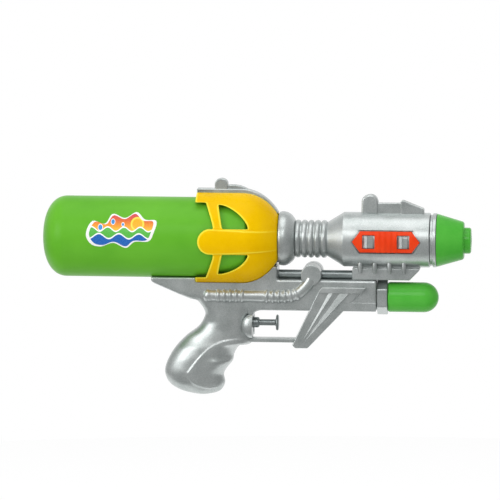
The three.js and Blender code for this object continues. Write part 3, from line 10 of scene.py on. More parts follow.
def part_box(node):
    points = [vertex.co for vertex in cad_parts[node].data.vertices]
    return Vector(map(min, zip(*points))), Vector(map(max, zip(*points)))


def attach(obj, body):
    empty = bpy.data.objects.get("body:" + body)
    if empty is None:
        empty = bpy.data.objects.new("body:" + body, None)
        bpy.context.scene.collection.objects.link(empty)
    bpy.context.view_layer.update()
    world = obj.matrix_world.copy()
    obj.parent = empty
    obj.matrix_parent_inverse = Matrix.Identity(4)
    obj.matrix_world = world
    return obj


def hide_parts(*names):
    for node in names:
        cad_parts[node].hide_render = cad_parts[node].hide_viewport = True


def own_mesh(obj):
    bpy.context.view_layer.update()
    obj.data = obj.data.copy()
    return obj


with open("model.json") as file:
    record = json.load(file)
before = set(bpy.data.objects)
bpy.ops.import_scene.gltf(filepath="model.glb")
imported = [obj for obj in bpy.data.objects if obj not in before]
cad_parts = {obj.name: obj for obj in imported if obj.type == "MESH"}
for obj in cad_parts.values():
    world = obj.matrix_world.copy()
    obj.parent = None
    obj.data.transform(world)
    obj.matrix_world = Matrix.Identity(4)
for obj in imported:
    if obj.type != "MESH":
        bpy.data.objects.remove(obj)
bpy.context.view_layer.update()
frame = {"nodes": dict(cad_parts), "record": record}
scene = bpy.context.scene

# Lengths are millimetres until a piece is finished, and metres from then on.
MM = 0.001
BARREL_AXIS = 90.0
PUMP_AXIS = 44.2
TRIGGER_AXIS = 22.4
ROD_AXIS = 61.5
GAP = 0.3
SEAM = 0.15
SHELL_WALL = 1.8
ROUND = 144
# A cutter that goes right through reaches so far to each side.
THROUGH = 60.0
SIDES = (("right", -1), ("left", 1))


# Colours and finishes

def colour(code):
    """An sRGB hex value as linear RGBA."""
    parts = [int(code[i:i + 2], 16) / 255 for i in (1, 3, 5)]
    return [p / 12.92 if p <= 0.04045 else ((p + 0.055) / 1.055) ** 2.4 for p in parts] + [1.0]


def per_mm(size):
    """The texture scale whose pattern is so many millimetres across."""
    return 1 / (size * MM)


def add(finish, kind, sockets=None, links=None, **settings):
    """A node with its settings, its fixed sockets and its links."""
    node = finish.node_tree.nodes.new(kind)
    for name, value in settings.items():
        setattr(node, name, value)
    for name, value in (sockets or {}).items():
        node.inputs[name].default_value = value
    for name, source in (links or {}).items():
        finish.node_tree.links.new(source, node.inputs[name])
    return node


def maths(finish, operation, *values):
    """A sum of numbers and node outputs."""
    numbers = {i: value for i, value in enumerate(values) if isinstance(value, (int, float))}
    sources = {i: value for i, value in enumerate(values) if i not in numbers}
    return add(finish, "ShaderNodeMath", numbers, sources, operation=operation).outputs["Value"]


def ranged(finish, source, low, high, start=0.0, end=1.0, **settings):
    """A value carried over from the range start to end to the range low to high."""
    sockets = {"From Min": start, "From Max": end, "To Min": low, "To Max": high}
    return add(finish, "ShaderNodeMapRange", sockets, {"Value": source}, **settings).outputs["Result"]


def noise(finish, place, size, detail):
    """Clouds so many millimetres across."""
    sockets = {"Scale": per_mm(size), "Detail": detail}
    return add(finish, "ShaderNodeTexNoise", sockets, {"Vector": place}).outputs["Fac"]


def over(finish, under, code, amount):
    """A colour laid over another by an amount."""
    return add(finish, "ShaderNodeMix", {7: colour(code)}, {0: amount, 6: under}, data_type="RGBA").outputs[2]


def ramp(finish, source, stops):
    """A colour ramp of (place, hex) stops."""
    node = add(finish, "ShaderNodeValToRGB", links={"Fac": source})
    elements = node.color_ramp.elements
    while len(elements) < len(stops):
        elements.new(0.5)
    for element, (place, code) in zip(elements, stops):
        element.position = place
        element.color = colour(code)
    return node.outputs["Color"]


def empty_finish(name):
    """A material with no nodes yet."""
    finish = bpy.data.materials.new(name)
    finish.use_nodes = True
    finish.node_tree.nodes.clear()
    return finish


def coated(finish, shader, tint, gloss, relief=None):
    """The surface of a finish, with a relief of (height source, depth, strength)."""
    links = {"Base Color": tint, "Roughness": gloss}
    if relief:
        source, depth, strength = relief
        sockets = {"Strength": strength, "Distance": depth * MM}
        links["Normal"] = add(finish, "ShaderNodeBump", sockets, {"Height": source}).outputs["Normal"]
    surface = add(finish, "ShaderNodeBsdfPrincipled", shader, links)
    add(finish, "ShaderNodeOutputMaterial", links={"Surface": surface.outputs["BSDF"]})
    return finish


def plastic(name, dark, light, mottle, rough, peel, height, shader, edge=None):
    """A moulded surface, mottled, uneven in gloss and skin, with a painted highlight along its sharp edges if
    asked.
    """
    finish = empty_finish(name)
    place = add(finish, "ShaderNodeTexCoord").outputs["Object"]
    tint = ramp(finish, noise(finish, place, mottle, 4.0), [(0.32, dark), (0.68, light)])
    if edge:
        # The edge colour is a painted highlight, laid where the surface bends sharply outwards.
        bend = add(finish, "ShaderNodeAttribute", attribute_name="bend").outputs["Fac"]
        tint = over(finish, tint, edge, ranged(finish, bend, 0.0, 0.9, 0.01, 0.035))
    skin = noise(finish, place, peel, 3.0)
    return coated(finish, shader, tint, ranged(finish, skin, *rough), (skin, height, 0.35))


def silver_lacquer(name, dark, light):
    """Aluminium lacquer sprayed on moulded ABS: a grey metal sheen with fine flakes and soft orange peel."""
    finish = empty_finish(name)
    place = add(finish, "ShaderNodeTexCoord").outputs["Object"]
    # Real flakes are 0.05 mm; they are drawn at 0.5 mm so that they show at all.
    flakes = add(finish, "ShaderNodeTexVoronoi", {"Scale": per_mm(0.5)}, {"Vector": place}).outputs["Color"]
    clouds = noise(finish, place, 14.0, 5.0)
    tint = ramp(finish, maths(finish, "MULTIPLY_ADD", flakes, 0.5, clouds), [(0.4, dark), (1.0, light)])
    shader = {"Metallic": 0.8, "Coat Weight": 0.4, "Coat Roughness": 0.18}
    peel = noise(finish, place, 1.2, 2.0)
    return coated(finish, shader, tint, ranged(finish, clouds, 0.34, 0.44), (peel, 0.04, 0.3))


SILVER = silver_lacquer("silver_lacquer_on_abs", "#a6aeac", "#cacfce")
# The trigger and the brace rod wear the body's silver lacquer; this copy is a shade darker as painted shade.
SHADED_SILVER = silver_lacquer("silver_lacquer_with_painted_shade", "#838c8b", "#a1a9a9")
# Blown polyethylene has a soft shine and broad waves from the mould.
TANK_GREEN = plastic(
    "blown_green_polyethylene", "#5fae2b", "#68b731", 30.0, (0.30, 0.38), 5.0, 0.06,
    {"IOR": 1.51, "Specular IOR Level": 0.12},
)
# Injection-moulded polypropylene is glossier than the tank, with a slightly deeper green.
NOZZLE_GREEN = plastic(
    "moulded_green_polypropylene", "#49ae37", "#56b841", 18.0, (0.18, 0.26), 2.5, 0.02,
    {"IOR": 1.49, "Specular IOR Level": 0.2},
)
# Moulded ABS has faint flow clouds; the pale yellow along its sharp edges is a painted highlight.
COVER_YELLOW = plastic(
    "moulded_yellow_abs", "#e8b600", "#f3c400", 22.0, (0.24, 0.32), 3.0, 0.02,
    {"IOR": 1.54, "Specular IOR Level": 0.05}, "#fbe640",
)
# The panels' ABS is a little duller, so that their low ribs show by their shade.
PANEL_ORANGE = plastic(
    "moulded_orange_abs", "#e33c14", "#f0481c", 12.0, (0.30, 0.38), 1.5, 0.02,
    {"IOR": 1.54, "Specular IOR Level": 0.1},
)
# Nylon is milky, with a satin skin.
WHITE_NYLON = plastic("moulded_white_nylon", "#dcdcd4", "#ecebe4", 8.0, (0.38, 0.5), 1.2, 0.03, {"IOR": 1.53})
# Soft PVC hose is cloudy and a little greasy to the eye.
CLEAR_HOSE = plastic(
    "soft_clear_pvc", "#c6d0cd", "#dbe3df", 6.0, (0.18, 0.28), 1.6, 0.04,
    {"IOR": 1.53, "Transmission Weight": 0.35},
)
# Rubber is near black and dull, with a fine bloom.
BLACK_RUBBER = plastic(
    "black_nitrile_rubber", "#17181a", "#26282a", 2.5, (0.55, 0.7), 0.8, 0.05, {"IOR": 1.52}
)
# Zinc-plated steel has a bright grey, slightly clouded shine.
ZINC_STEEL = plastic(
    "zinc_plated_steel", "#a4a8ab", "#c0c3c4", 1.5, (0.26, 0.36), 0.5, 0.02, {"Metallic": 1.0}
)


# Shapes

def tidy(shape):
    """Merges doubled points and turns the faces outwards."""
    bmesh.ops.remove_doubles(shape, verts=shape.verts, dist=0.001)
    bmesh.ops.dissolve_degenerate(shape, edges=shape.edges, dist=0.0005)
    bmesh.ops.recalc_face_normals(shape, faces=shape.faces)
    return shape


def moved(shape, *way):
    """A shape carried along X, Y and Z."""
    bmesh.ops.translate(shape, vec=way, verts=shape.verts)
    return shape


def turned(shape, degrees, axis):
    """A shape turned about an axis through the origin."""
    turn = Matrix.Rotation(math.radians(degrees), 3, axis)
    bmesh.ops.rotate(shape, cent=(0, 0, 0), matrix=turn, verts=shape.verts)
    return shape


def soften(shape, width, segments=3, angle=28):
    """Rounds the edges that turn by more than an angle, if there is a width to round them by."""
    if width:
        sharp = [e for e in shape.edges if e.is_manifold and e.calc_face_angle() > math.radians(angle)]
        bmesh.ops.bevel(
            shape, geom=sharp, offset=width, offset_type="OFFSET", affect="EDGES", segments=segments,
            profile=0.5, material=-1, clamp_overlap=True,
        )
    return shape


def spun(profile, height=BARREL_AXIS, edge=0.0, steps=ROUND):
    """A line of (x, radius) points spun round an axis along X, closed first if it starts off that axis."""
    shape = bmesh.new()
    points = [shape.verts.new((x, 0, r)) for x, r in profile]
    lines = [shape.edges.new(pair) for pair in zip(points, points[1:])]
    if profile[0][1] > 0.001:
        lines.append(shape.edges.new((points[-1], points[0])))
    whole = {"cent": (0, 0, 0), "axis": (1, 0, 0), "angle": math.tau, "use_merge": True}
    bmesh.ops.spin(shape, geom=points + lines, steps=steps, **whole)
    return moved(soften(tidy(shape), edge), 0, 0, height)


def bar(rear, front, radius, height=BARREL_AXIS, edge=0.0, steps=ROUND):
    """A plain round bar along X."""
    return spun([(rear, 0), (rear, radius), (front, radius), (front, 0)], height, edge, steps)


def belt(inside, outside, rear, front):
    """A ring round the barrel's axis, of a plain section."""
    return spun([(rear, inside), (front, inside), (front, outside), (rear, outside)])


def drawn_out(corners, way):
    """A flat face, drawn out along a way."""
    shape = bmesh.new()
    face = shape.faces.new([shape.verts.new(corner) for corner in corners])
    drawn = bmesh.ops.extrude_face_region(shape, geom=[face])["geom"]
    ends = [part for part in drawn if isinstance(part, bmesh.types.BMVert)]
    bmesh.ops.translate(shape, vec=way, verts=ends)
    return tidy(shape)


def slab(outline, near=-THROUGH, far=THROUGH, edge=0.0):
    """An outline of (x, z) points, drawn out from near to far across Y."""
    return soften(drawn_out([(x, near, z) for x, z in outline], (0, far - near, 0)), edge)


def side_slab(outline, side, half_width, edge=0.0):
    """One half of a slab that is parted along the seam."""
    return slab(outline, *sorted((side * SEAM, side * half_width)), edge)


def oblong(rear, front, low, high):
    """The side outline of a plain block."""
    return [(rear, low), (front, low), (front, high), (rear, high)]


def about_axis(points):
    """Side points given from the barrel's axis."""
    return [(x, BARREL_AXIS + z) for x, z in points]


def prism(sides, radius, depth):
    """A prism about the origin, along Z."""
    shape = bmesh.new()
    bmesh.ops.create_cone(shape, cap_ends=True, segments=sides, radius1=radius, radius2=radius, depth=depth)
    return shape


def cross_rod(x, z, radius, near, far, edge=0.0, steps=64):
    """A round rod across Y."""
    shape = turned(prism(steps, radius, far - near), 90, "X")
    return soften(tidy(moved(shape, x, (near + far) / 2, z)), edge)


def fuller(part, fullness):
    """A sine or cosine for an ellipse that is fuller than usual above 2."""
    return math.copysign(abs(part) ** (2 / fullness), part)


def arc(x, r, depth, rise, start, end, steps, fullness=2.0):
    """Points on a (x, radius) ellipse between two angles."""
    points = []
    for step in range(steps + 1):
        angle = math.radians(start + (end - start) * step / steps)
        along, up = fuller(math.cos(angle), fullness), fuller(math.sin(angle), fullness)
        points.append((x + depth * along, r + rise * up))
    return points


def lofted(rings, sides):
    """A closed skin through rings, each given by its middle, its two half axes and its fullness."""
    shape = bmesh.new()
    before = None
    for number, (middle, across, up, fullness) in enumerate(rings):
        ends = number in (0, len(rings) - 1)
        circle = bmesh.ops.create_circle(shape, cap_ends=ends, segments=sides, radius=1)["verts"]
        for point in circle:
            x, y = point.co.x, point.co.y
            point.co = middle + across * fuller(x, fullness) + up * fuller(y, fullness)
        edges = {edge for point in circle for edge in point.link_edges}
        if before:
            bmesh.ops.bridge_loops(shape, edges=list(edges | before))
        before = edges
    return tidy(shape)


def smooth_line(points, count, ring=False):
    """Points at equal steps along a smooth line through the given ones."""
    points = [Vector(point) for point in points]
    ends = [points[-1], *points, points[0], points[1]] if ring else [points[0], *points, points[-1]]
    line = []
    for before, start, end, after in zip(ends, ends[1:], ends[2:], ends[3:]):
        line += interpolate_bezier(start, start + (end - before) / 6, end - (after - start) / 6, end, 25)[:-1]
    line.append(points[0] if ring else points[-1])
    reach = [0.0]
    for start, end in zip(line, line[1:]):
        reach.append(reach[-1] + (end - start).length)
    evenly = []
    at = 0
    for step in range(count):
        goal = reach[-1] * step / (count if ring else count - 1)
        while at < len(line) - 2 and reach[at + 1] < goal:
            at += 1
        share = (goal - reach[at]) / max(reach[at + 1] - reach[at], 1e-9)
        evenly.append(line[at].lerp(line[at + 1], share))
    return evenly


def step_up(value):
    """A smooth step from 0 to 1."""
    value = min(max(value, 0.0), 1.0)
    return value * value * (3 - 2 * value)


def meshed(name, shape):
    """A mesh of a shape, which is used up."""
    mesh = bpy.data.meshes.new(name)
    shape.to_mesh(mesh)
    shape.free()
    return mesh


def placed(name, data):
    """An object in the scene."""
    obj = bpy.data.objects.new(name, data)
    scene.collection.objects.link(obj)
    return obj


def scrap(shape):
    """A passing object for a modifier to work on."""
    return placed("scrap", meshed("scrap", shape))


def settled(obj, *tools):
    """What an object's modifiers make of it, and the passing objects go."""
    mesh = bpy.data.meshes.new_from_object(obj.evaluated_get(bpy.context.evaluated_depsgraph_get()))
    shape = bmesh.new()
    shape.from_mesh(mesh)
    bpy.data.meshes.remove(mesh)
    for used in (obj, *tools):
        data = used.data
        bpy.data.objects.remove(used)
        bpy.data.meshes.remove(data)
    return shape


def carved(shape, tools, operation="DIFFERENCE"):
    """A closed shape cut by, joined to or kept within others."""
    base = scrap(shape)
    others = [scrap(tool) for tool in tools]
    for other in others:
        step = base.modifiers.new("carve", "BOOLEAN")
        step.operation = operation
        step.solver = "EXACT"
        step.object = other
    return settled(base, *others)


def even_out(shape, points, passes):
    """Draws points towards the middle of their neighbours."""
    for _ in range(passes):
        bmesh.ops.smooth_vert(
            shape, verts=points, factor=0.5, use_axis_x=True, use_axis_y=True, use_axis_z=True
        )


def remoulded(shape, grain, passes):
    """One closed skin round a shape, with the soft edges of a moulding."""
    base = scrap(shape)
    step = base.modifiers.new("remould", "REMESH")
    step.mode = "VOXEL"
    step.voxel_size = grain
    shape = settled(base)
    even_out(shape, shape.verts, passes)
    return shape


def mark_bends(shape, passes=5):
    """Notes at each point how sharply the surface bends outwards there, to place a painted edge highlight."""
    bend = shape.verts.layers.float.new("bend")
    shape.normal_update()
    rings = {point: [edge.other_vert(point) for edge in point.link_edges] for point in shape.verts}
    for point, ring in rings.items():
        middle = sum((near.co for near in ring), Vector()) / len(ring)
        reach = sum((near.co - point.co).length for near in ring) / len(ring)
        point[bend] = (point.co - middle).dot(point.normal) / reach
    groups = [[point, *ring] for point, ring in rings.items()]
    for _ in range(passes):
        evened = [sum(near[bend] for near in group) / len(group) for group in groups]
        for point, value in zip(rings, evened):
            point[bend] = value


def split(shape, side):
    """The part of a shape on one side of the seam, and the edges where it is cut."""
    shape = shape.copy()
    cut = bmesh.ops.bisect_plane(
        shape,
        geom=shape.verts[:] + shape.edges[:] + shape.faces[:],
        dist=0.0001,
        plane_co=(0, side * SEAM, 0),
        plane_no=(0, -side, 0),
        clear_outer=True,
    )["geom_cut"]
    return shape, [part for part in cut if isinstance(part, bmesh.types.BMEdge)]


def closed_half(shape, side):
    """One half of a closed shape, closed again at the seam."""
    shape, rim = split(shape, side)
    bmesh.ops.edgeloop_fill(shape, edges=rim)
    bmesh.ops.recalc_face_normals(shape, faces=shape.faces)
    return shape


def joined(*shapes):
    """Closed shells of one moulding, in one mesh."""
    whole = bmesh.new()
    for shape in shapes:
        mesh = meshed("shell", shape)
        whole.from_mesh(mesh)
        bpy.data.meshes.remove(mesh)
    return whole


def piece(name, shape, finish, slot, *nodes, body="squirter_body", crease=35, weighted=True):
    """The finished object, in metres, riding on its body in place of its CAD nodes."""
    bmesh.ops.scale(shape, vec=(MM, MM, MM), verts=shape.verts)
    mesh = meshed(name, shape)
    mesh.shade_smooth()
    mesh.set_sharp_from_angle(angle=math.radians(crease))
    mesh.materials.append(finish)
    obj = placed(name, mesh)
    if weighted:
        step = obj.modifiers.new("flat faces stay flat", "WEIGHTED_NORMAL")
        step.keep_sharp = True
    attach(obj, body)
    if nodes:
        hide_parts(*nodes)
    return obj


def halves(shape, name, finish, slot, node):
    """The right and left pieces of a moulding that is parted at the seam."""
    for hand, side in SIDES:
        half, _ = split(shape, side)
        piece(f"{name}_{hand}", tidy(half), finish, slot, f"{node}_{hand}", crease=60, weighted=False)
    shape.free()


# Tank: a blown bottle with a full round tail, and a neck that screws into the socket

TANK_RADIUS = 32.2
TANK_WALL = 1.6
TANK_TAIL = -111.0
TAIL_DEPTH = 20.0
TAIL_FULLNESS = 2.3
TANK_FRONT = 31.5
SHOULDER_DEPTH = 6.5
NECK_RADIUS = 11.0
NECK_BORE = 9.2
NECK_END = 48.4
NECK_CHAMFER = 0.6

tank_inside = TANK_RADIUS - TANK_WALL
shoulder_inside = SHOULDER_DEPTH - TANK_WALL
tank = spun(
    [
        *arc(TANK_TAIL, 0, TAIL_DEPTH, TANK_RADIUS, 180, 90, 36, TAIL_FULLNESS),
        *arc(TANK_FRONT, NECK_RADIUS, SHOULDER_DEPTH, TANK_RADIUS - NECK_RADIUS, 90, 0, 16),
        (NECK_END - NECK_CHAMFER, NECK_RADIUS),
        (NECK_END, NECK_RADIUS - NECK_CHAMFER),
        (NECK_END, NECK_BORE),
        (TANK_FRONT + shoulder_inside, NECK_BORE),
        *arc(TANK_FRONT, NECK_BORE, shoulder_inside, tank_inside - NECK_BORE, 0, 90, 12),
        *arc(TANK_TAIL, 0, TAIL_DEPTH - TANK_WALL, tank_inside, 90, 180, 24, TAIL_FULLNESS),
    ]
)
piece("tank_bottle", tank, TANK_GREEN, "green_plastic", "tank", body="tank_unit", weighted=False)

# Label: a die-cut splash on the tank's right side, printed film on a white border

LABEL_MIDDLE = (-66.0, 98.0)
LABEL_SPLASH = [
    (-28, -3), (-23, 7), (-13, 5), (-7, 12.5), (3, 9.5), (12, 14), (19, 8.5), (28, 7.5),
    (26, -2), (22, -8.5), (11, -9), (4, -14), (-6, -10), (-16, -13), (-24, -11),
]
LABEL_DROPS = ((-16.5, 2.2, 2.3), (-6.5, 6.6, 2.0), (1.5, 4.6, 1.3))


def label_film(scale, low, high):
    """A film that lies on the tank's side, cut along the splash."""
    line = smooth_line([(x * scale, z * scale, 0) for x, z in LABEL_SPLASH], 90, ring=True)
    outline = [(LABEL_MIDDLE[0] + point.x, LABEL_MIDDLE[1] + point.y) for point in line]
    sleeve = belt(TANK_RADIUS + low, TANK_RADIUS + high, -100, -30)
    return carved(sleeve, [slab(outline, -THROUGH, -5)], "INTERSECT")


def printed_film():
    """Gloss-printed vinyl: a sunny sky over two rows of waves, with drops of water."""
    finish = empty_finish("printed_vinyl_film")
    middle = (LABEL_MIDDLE[0] * MM, 0.0, LABEL_MIDDLE[1] * MM)
    place = add(finish, "ShaderNodeTexCoord").outputs["Object"]

    def vectors(operation, source, value):
        """A sum of a node output and a fixed vector."""
        return add(finish, "ShaderNodeVectorMath", {1: value}, {0: source}, operation=operation).outputs

    local = vectors("SUBTRACT", place, middle)["Vector"]
    axes = add(finish, "ShaderNodeSeparateXYZ", links={"Vector": local}).outputs

    def mask(low, high, source):
        """A soft step from 0 to 1 between two lengths in millimetres."""
        return ranged(finish, source, 0.0, 1.0, low * MM, high * MM, interpolation_type="SMOOTHSTEP")

    def height_over_wave(length, rise, level, shift):
        """Height above a wavy line, in metres."""
        turn = maths(finish, "MULTIPLY_ADD", axes["X"], math.tau / (length * MM), shift)
        line = maths(finish, "MULTIPLY_ADD", maths(finish, "SINE", turn), rise * MM, level * MM)
        return maths(finish, "SUBTRACT", axes["Z"], line)

    def distance_to(x, z, stretch):
        """Distance from a point of the label, in metres, longer or shorter across."""
        across = vectors("MULTIPLY", local, (stretch, 0, 1))["Vector"]
        return vectors("DISTANCE", across, (x * stretch * MM, 0, z * MM))["Value"]

    sun = distance_to(13, 5, 1.0)
    far_wave = height_over_wave(13, 1.7, 0.5, 0.4)
    near_wave = height_over_wave(16, 2.0, -5.0, 2.2)
    layers = [
        ("#fbe04a", mask(5.6, 5.2, sun)),
        ("#f6b21d", mask(4.2, 3.9, sun)),
        ("#ffffff", mask(1.0, 0.7, far_wave)),
        ("#58b947", mask(0.0, -0.3, far_wave)),
        ("#ffffff", mask(1.1, 0.8, near_wave)),
        ("#2366b8", mask(0.0, -0.3, near_wave)),
    ]
    for x, z, size in LABEL_DROPS:
        drop = distance_to(x, z, 1.35)
        layers.append(("#ffffff", mask(size + 0.5, size + 0.25, drop)))
        layers.append(("#3f8fd6", mask(size, size - 0.25, drop)))
    tint = ramp(finish, mask(-6, 14, axes["Z"]), [(0.0, "#f7e231"), (0.45, "#f39a1c"), (1.0, "#cf1f3e")])
    for code, amount in layers:
        tint = over(finish, tint, code, amount)
    # The print's dots are 0.25 mm, drawn at 0.6 mm so that they show at all.
    dots = add(finish, "ShaderNodeTexVoronoi", {"Scale": per_mm(0.6)}, {"Vector": place}).outputs["Distance"]
    return coated(finish, {"IOR": 1.5}, tint, ranged(finish, dots, 0.22, 0.34))


# White vinyl is smooth and even, with a soft gloss.
WHITE_VINYL = plastic("white_vinyl_film", "#efefed", "#f8f8f6", 6.0, (0.25, 0.33), 1.0, 0.01, {"IOR": 1.5})
for name, finish, scale, low, high in (
    ("tank_label_border", WHITE_VINYL, 1.0, 0.06, 0.16),
    ("tank_label_print", printed_film(), 0.91, 0.17, 0.22),
):
    piece(name, label_film(scale, low, high), finish, "white_plastic", body="tank_unit", weighted=False)

# Tank cover: two yellow halves, each with bands, struts, windows and a raised tongue

COVER_RADIUS = 37.0
COVER_INSIDE = 34.6
COVER_REAR = -7.8
COVER_FRONT = 57.6
COVER_GRAIN = 0.42
DOME_START = 28.4
DOME_DEPTH = 34.5
DOME_INSIDE_DEPTH = 32.2
TONGUE_HALF = 10.2
TONGUE_REAR = 5.4
TONGUE_RISE = 0.8
STRUT_EDGE = [(0.8, 30.0), (2.9, 25.0), (5.2, 19.0), (6.8, 14.5), (7.7, TONGUE_HALF), (7.7, 0)]
COVER_WINDOWS = ((1, 18.4), (-1, 16.6))
# The barrel's spine and the frame's web run between the cover's halves.
SPINE_HALF = 5.0
WEB_HALF = 10.8


def dome(radius, depth, end):
    """The (x, radius) line of the cover from its rear edge to a station on its dome."""
    angle = math.degrees(math.acos((end - DOME_START) / depth))
    return [(COVER_REAR, radius), *arc(DOME_START, 0, depth, radius, 90, angle, 28)]


def cover_sleeve(outside):
    """The cover's whole round, between its inner skin and an outer one."""
    inner = dome(COVER_INSIDE, DOME_INSIDE_DEPTH, COVER_FRONT)
    outer = dome(outside, DOME_DEPTH, COVER_FRONT)
    return spun([*outer, *reversed(inner)])


def cover_openings():
    """The notch behind the struts, the windows, and the room for the spine and the web."""
    notch = [(-30, -30), *[(x, -z) for x, z in STRUT_EDGE], *reversed(STRUT_EDGE[:-1]), (-30, 30)]
    shapes = [slab(about_axis(notch))]
    for up, height in COVER_WINDOWS:
        outline = [(15.0, TONGUE_HALF), *arc(11.0, TONGUE_HALF, 24.4, height, 0, 90, 20, 1.6)]
        shapes.append(slab(about_axis([(x, up * z) for x, z in outline])))
    for low, high, half in ((0, 60, SPINE_HALF + GAP), (-60, 0, WEB_HALF + GAP)):
        shapes.append(slab(about_axis(oblong(-30, 90, low, high)), -half, half))
    return shapes


def tongue_outline():
    """The tongue's side outline: a round rear end, and nearly level edges up the dome."""
    rear = arc(TONGUE_REAR, 0, TONGUE_HALF, TONGUE_HALF, 90, 270, 28)
    return about_axis([(62, -7.8), (62, 7.8), *rear])


cover = carved(cover_sleeve(COVER_RADIUS), cover_openings())
tongue = carved(cover_sleeve(COVER_RADIUS + TONGUE_RISE), [slab(tongue_outline())], "INTERSECT")
cover = remoulded(carved(cover, [tongue], "UNION"), COVER_GRAIN, 5)
# The bends place the cover's painted edge highlight.
mark_bends(cover)
halves(cover, "cover", COVER_YELLOW, "yellow_plastic", "tank_cover")

# Screws hold the halves together, with their heads in wells on the left side

SCREW_WELL = 2.9
WELL_WALL = 1.2
WELL_FLOOR = 1.5
HEAD_HEIGHT = 2.0
# Screws above this height are the barrel's.
BARREL_SCREWS = 64.2
screw_places = {}
for name in frame["nodes"]:
    if name.startswith("case_screw"):
        low, high = [Vector(corner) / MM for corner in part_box(name)]
        screw_places[name] = ((low.x + high.x) / 2, high.y - HEAD_HEIGHT, (low.z + high.z) / 2)


def screw_wells():
    """Room for the screws' heads, from under each head to the outside."""
    return [cross_rod(x, z, SCREW_WELL, y, THROUGH, steps=40) for x, y, z in screw_places.values()]


# Barrel: bulb, bellows, cone and drum, with the spine, sights and rail moulded on

BULB_MIDDLE = 61.4
BULB_DEPTH = 13.2
BULB_RADIUS = 21.7
BELLOWS_REAR = 70.4
BELLOWS_PITCH = 5.25
BELLOWS_RADIUS = 15.1
BELLOWS_GROOVE = 1.7
CONE_REAR = 97.6
CONE_FRONT = 109.8
DRUM_RADIUS = 21.8
DRUM_FRONT = 178.6
BARREL_INSIDE = [(DRUM_FRONT, 19.8), (111, 19.8), (96, 11.4), (70, 11.4), (58, 17.5)]
PANEL_MIDDLE = 144.2
PANEL_HALF = 27.0
PANEL_HEIGHT = 8.5
PANEL_POINT = 6.4
PANEL_BELT = (112.0, 176.0)
PANEL_INSIDE = 20.9
PANEL_FACE = 22.05
POCKET_FLOOR = 20.0
POCKET_GAP = 0.9
WINDOW_PLACES = (-13.8, 13.8)
WINDOW_HALF = 4.9
WINDOW_HEIGHT = 5.4


def barrel_profile():
    """The (x, radius) line of the barrel's skin, and back along its inside."""
    line = arc(BULB_MIDDLE, 0, BULB_DEPTH, BULB_RADIUS, 104, 46, 20)
    valley = BELLOWS_RADIUS - BELLOWS_GROOVE
    for rib in range(5):
        middle = BELLOWS_REAR + (rib + 0.5) * BELLOWS_PITCH
        line += arc(middle, valley, BELLOWS_PITCH / 2 - 0.35, BELLOWS_GROOVE, 180, 0, 10)
    return line + [
        (CONE_REAR, BELLOWS_RADIUS - 0.9),
        (CONE_FRONT - 0.5, DRUM_RADIUS - 0.35),
        (CONE_FRONT + 0.2, DRUM_RADIUS),
        (DRUM_FRONT - 0.5, DRUM_RADIUS),
        (DRUM_FRONT, DRUM_RADIUS - 0.5),
        *BARREL_INSIDE,
    ]


def panel_outline(grow):
    """The panel's side outline, a long hexagon."""
    x, z, tip = PANEL_HALF + grow, PANEL_HEIGHT + grow, PANEL_POINT
    ends = [(x, 0), (x - tip, z), (-x + tip, z), (-x, 0), (-x + tip, -z), (x - tip, -z)]
    return about_axis([(PANEL_MIDDLE + a, b) for a, b in ends])


def window_tooth(place, side):
    """The silver block in a panel's window: a sloping rear part, and a flat face chamfered above."""
    middle = PANEL_MIDDLE + place
    rear, ridge, front = middle - WINDOW_HALF + 0.3, middle - 0.9, middle + WINDOW_HALF - 1.4
    low, high = BARREL_AXIS - WINDOW_HEIGHT + 0.5, BARREL_AXIS + WINDOW_HEIGHT - 1.0
    section = [(rear, 19.4), (rear, 20.1), (ridge, 22.0), (ridge + 0.2, 21.2), (front, 21.2), (front, 19.4)]
    shape = drawn_out([(x, side * y, low) for x, y in section], (0, 0, high - low))
    brow = [
        edge for edge in shape.edges
        if all(v.co.z > high - 0.1 and abs(v.co.y) > 21.1 and v.co.x > ridge + 0.2 for v in edge.verts)
    ]
    bmesh.ops.bevel(shape, geom=brow, offset=1.2, affect="EDGES", segments=1, profile=0.5, material=-1)
    return soften(shape, 0.15, 2, 14)


SPINE_RISE = 2.6
SPINE_SINK = 2.4
REAR_SIGHT = [(6.4, 36.6), (6.4, 43.4), *arc(11.6, 43.4, 5.2, 4.3, 180, 0, 18), (16.8, 36.6)]
REAR_RAIL = [(16.0, 37.0), (16.0, 42.6), (22.5, 42.6), (26.5, 42.0), (31.0, 40.4), (34.4, 38.4), (34.0, 37.0)]
SIGHT_POST = [
    (123.6, 20.6), (123.8, 31.4), (124.6, 33.4), (126.2, 34.9), (128.6, 35.9), (131.0, 36.3), (133.0, 35.9),
    (134.7, 34.8), (136.0, 33.2), (136.8, 31.2), (137.2, 28.8), (137.2, 20.6),
]
SIGHT_DECK = oblong(135.0, 155.5, 20.6, 29.5)
SIGHT_RAMP = [
    (154.8, 20.6), (154.8, 30.6), (155.6, 31.7), (157.2, 31.7), (172.6, 25.6), (173.6, 24.6), (173.6, 20.6),
]
RAIL_SIDE = [(117.0, 58.5), (162.6, 58.5), (170.6, 66.6), (170.6, 67.9), (117.0, 67.9)]
RAIL_WEB = oblong(117.6, 169.8, 66.5, 76.0)
RAIL_RIBS = (123.4, 135.0, 146.6, 158.2)
# Outlines that stand on the barrel, with their half widths and the rounding of their edges
BARREL_STANDS = (
    (about_axis(REAR_SIGHT), SPINE_HALF - 0.4, 0.7),
    (about_axis(REAR_RAIL), SPINE_HALF - 1.4, 0.6),
    (about_axis(SIGHT_POST), SPINE_HALF, 1.6),
    (about_axis(SIGHT_DECK), SPINE_HALF - 0.8, 0.5),
    (about_axis(SIGHT_RAMP), SPINE_HALF, 1.4),
    (RAIL_SIDE, 10.0, 1.0),
    (RAIL_WEB, 7.0, 0.4),
)
SPINDLE_HALF = 5.4
SPINDLE_STEPS = (-0.99, -0.9, -0.75, -0.5, -0.25, 0, 0.25, 0.5, 0.75, 0.9, 0.99)


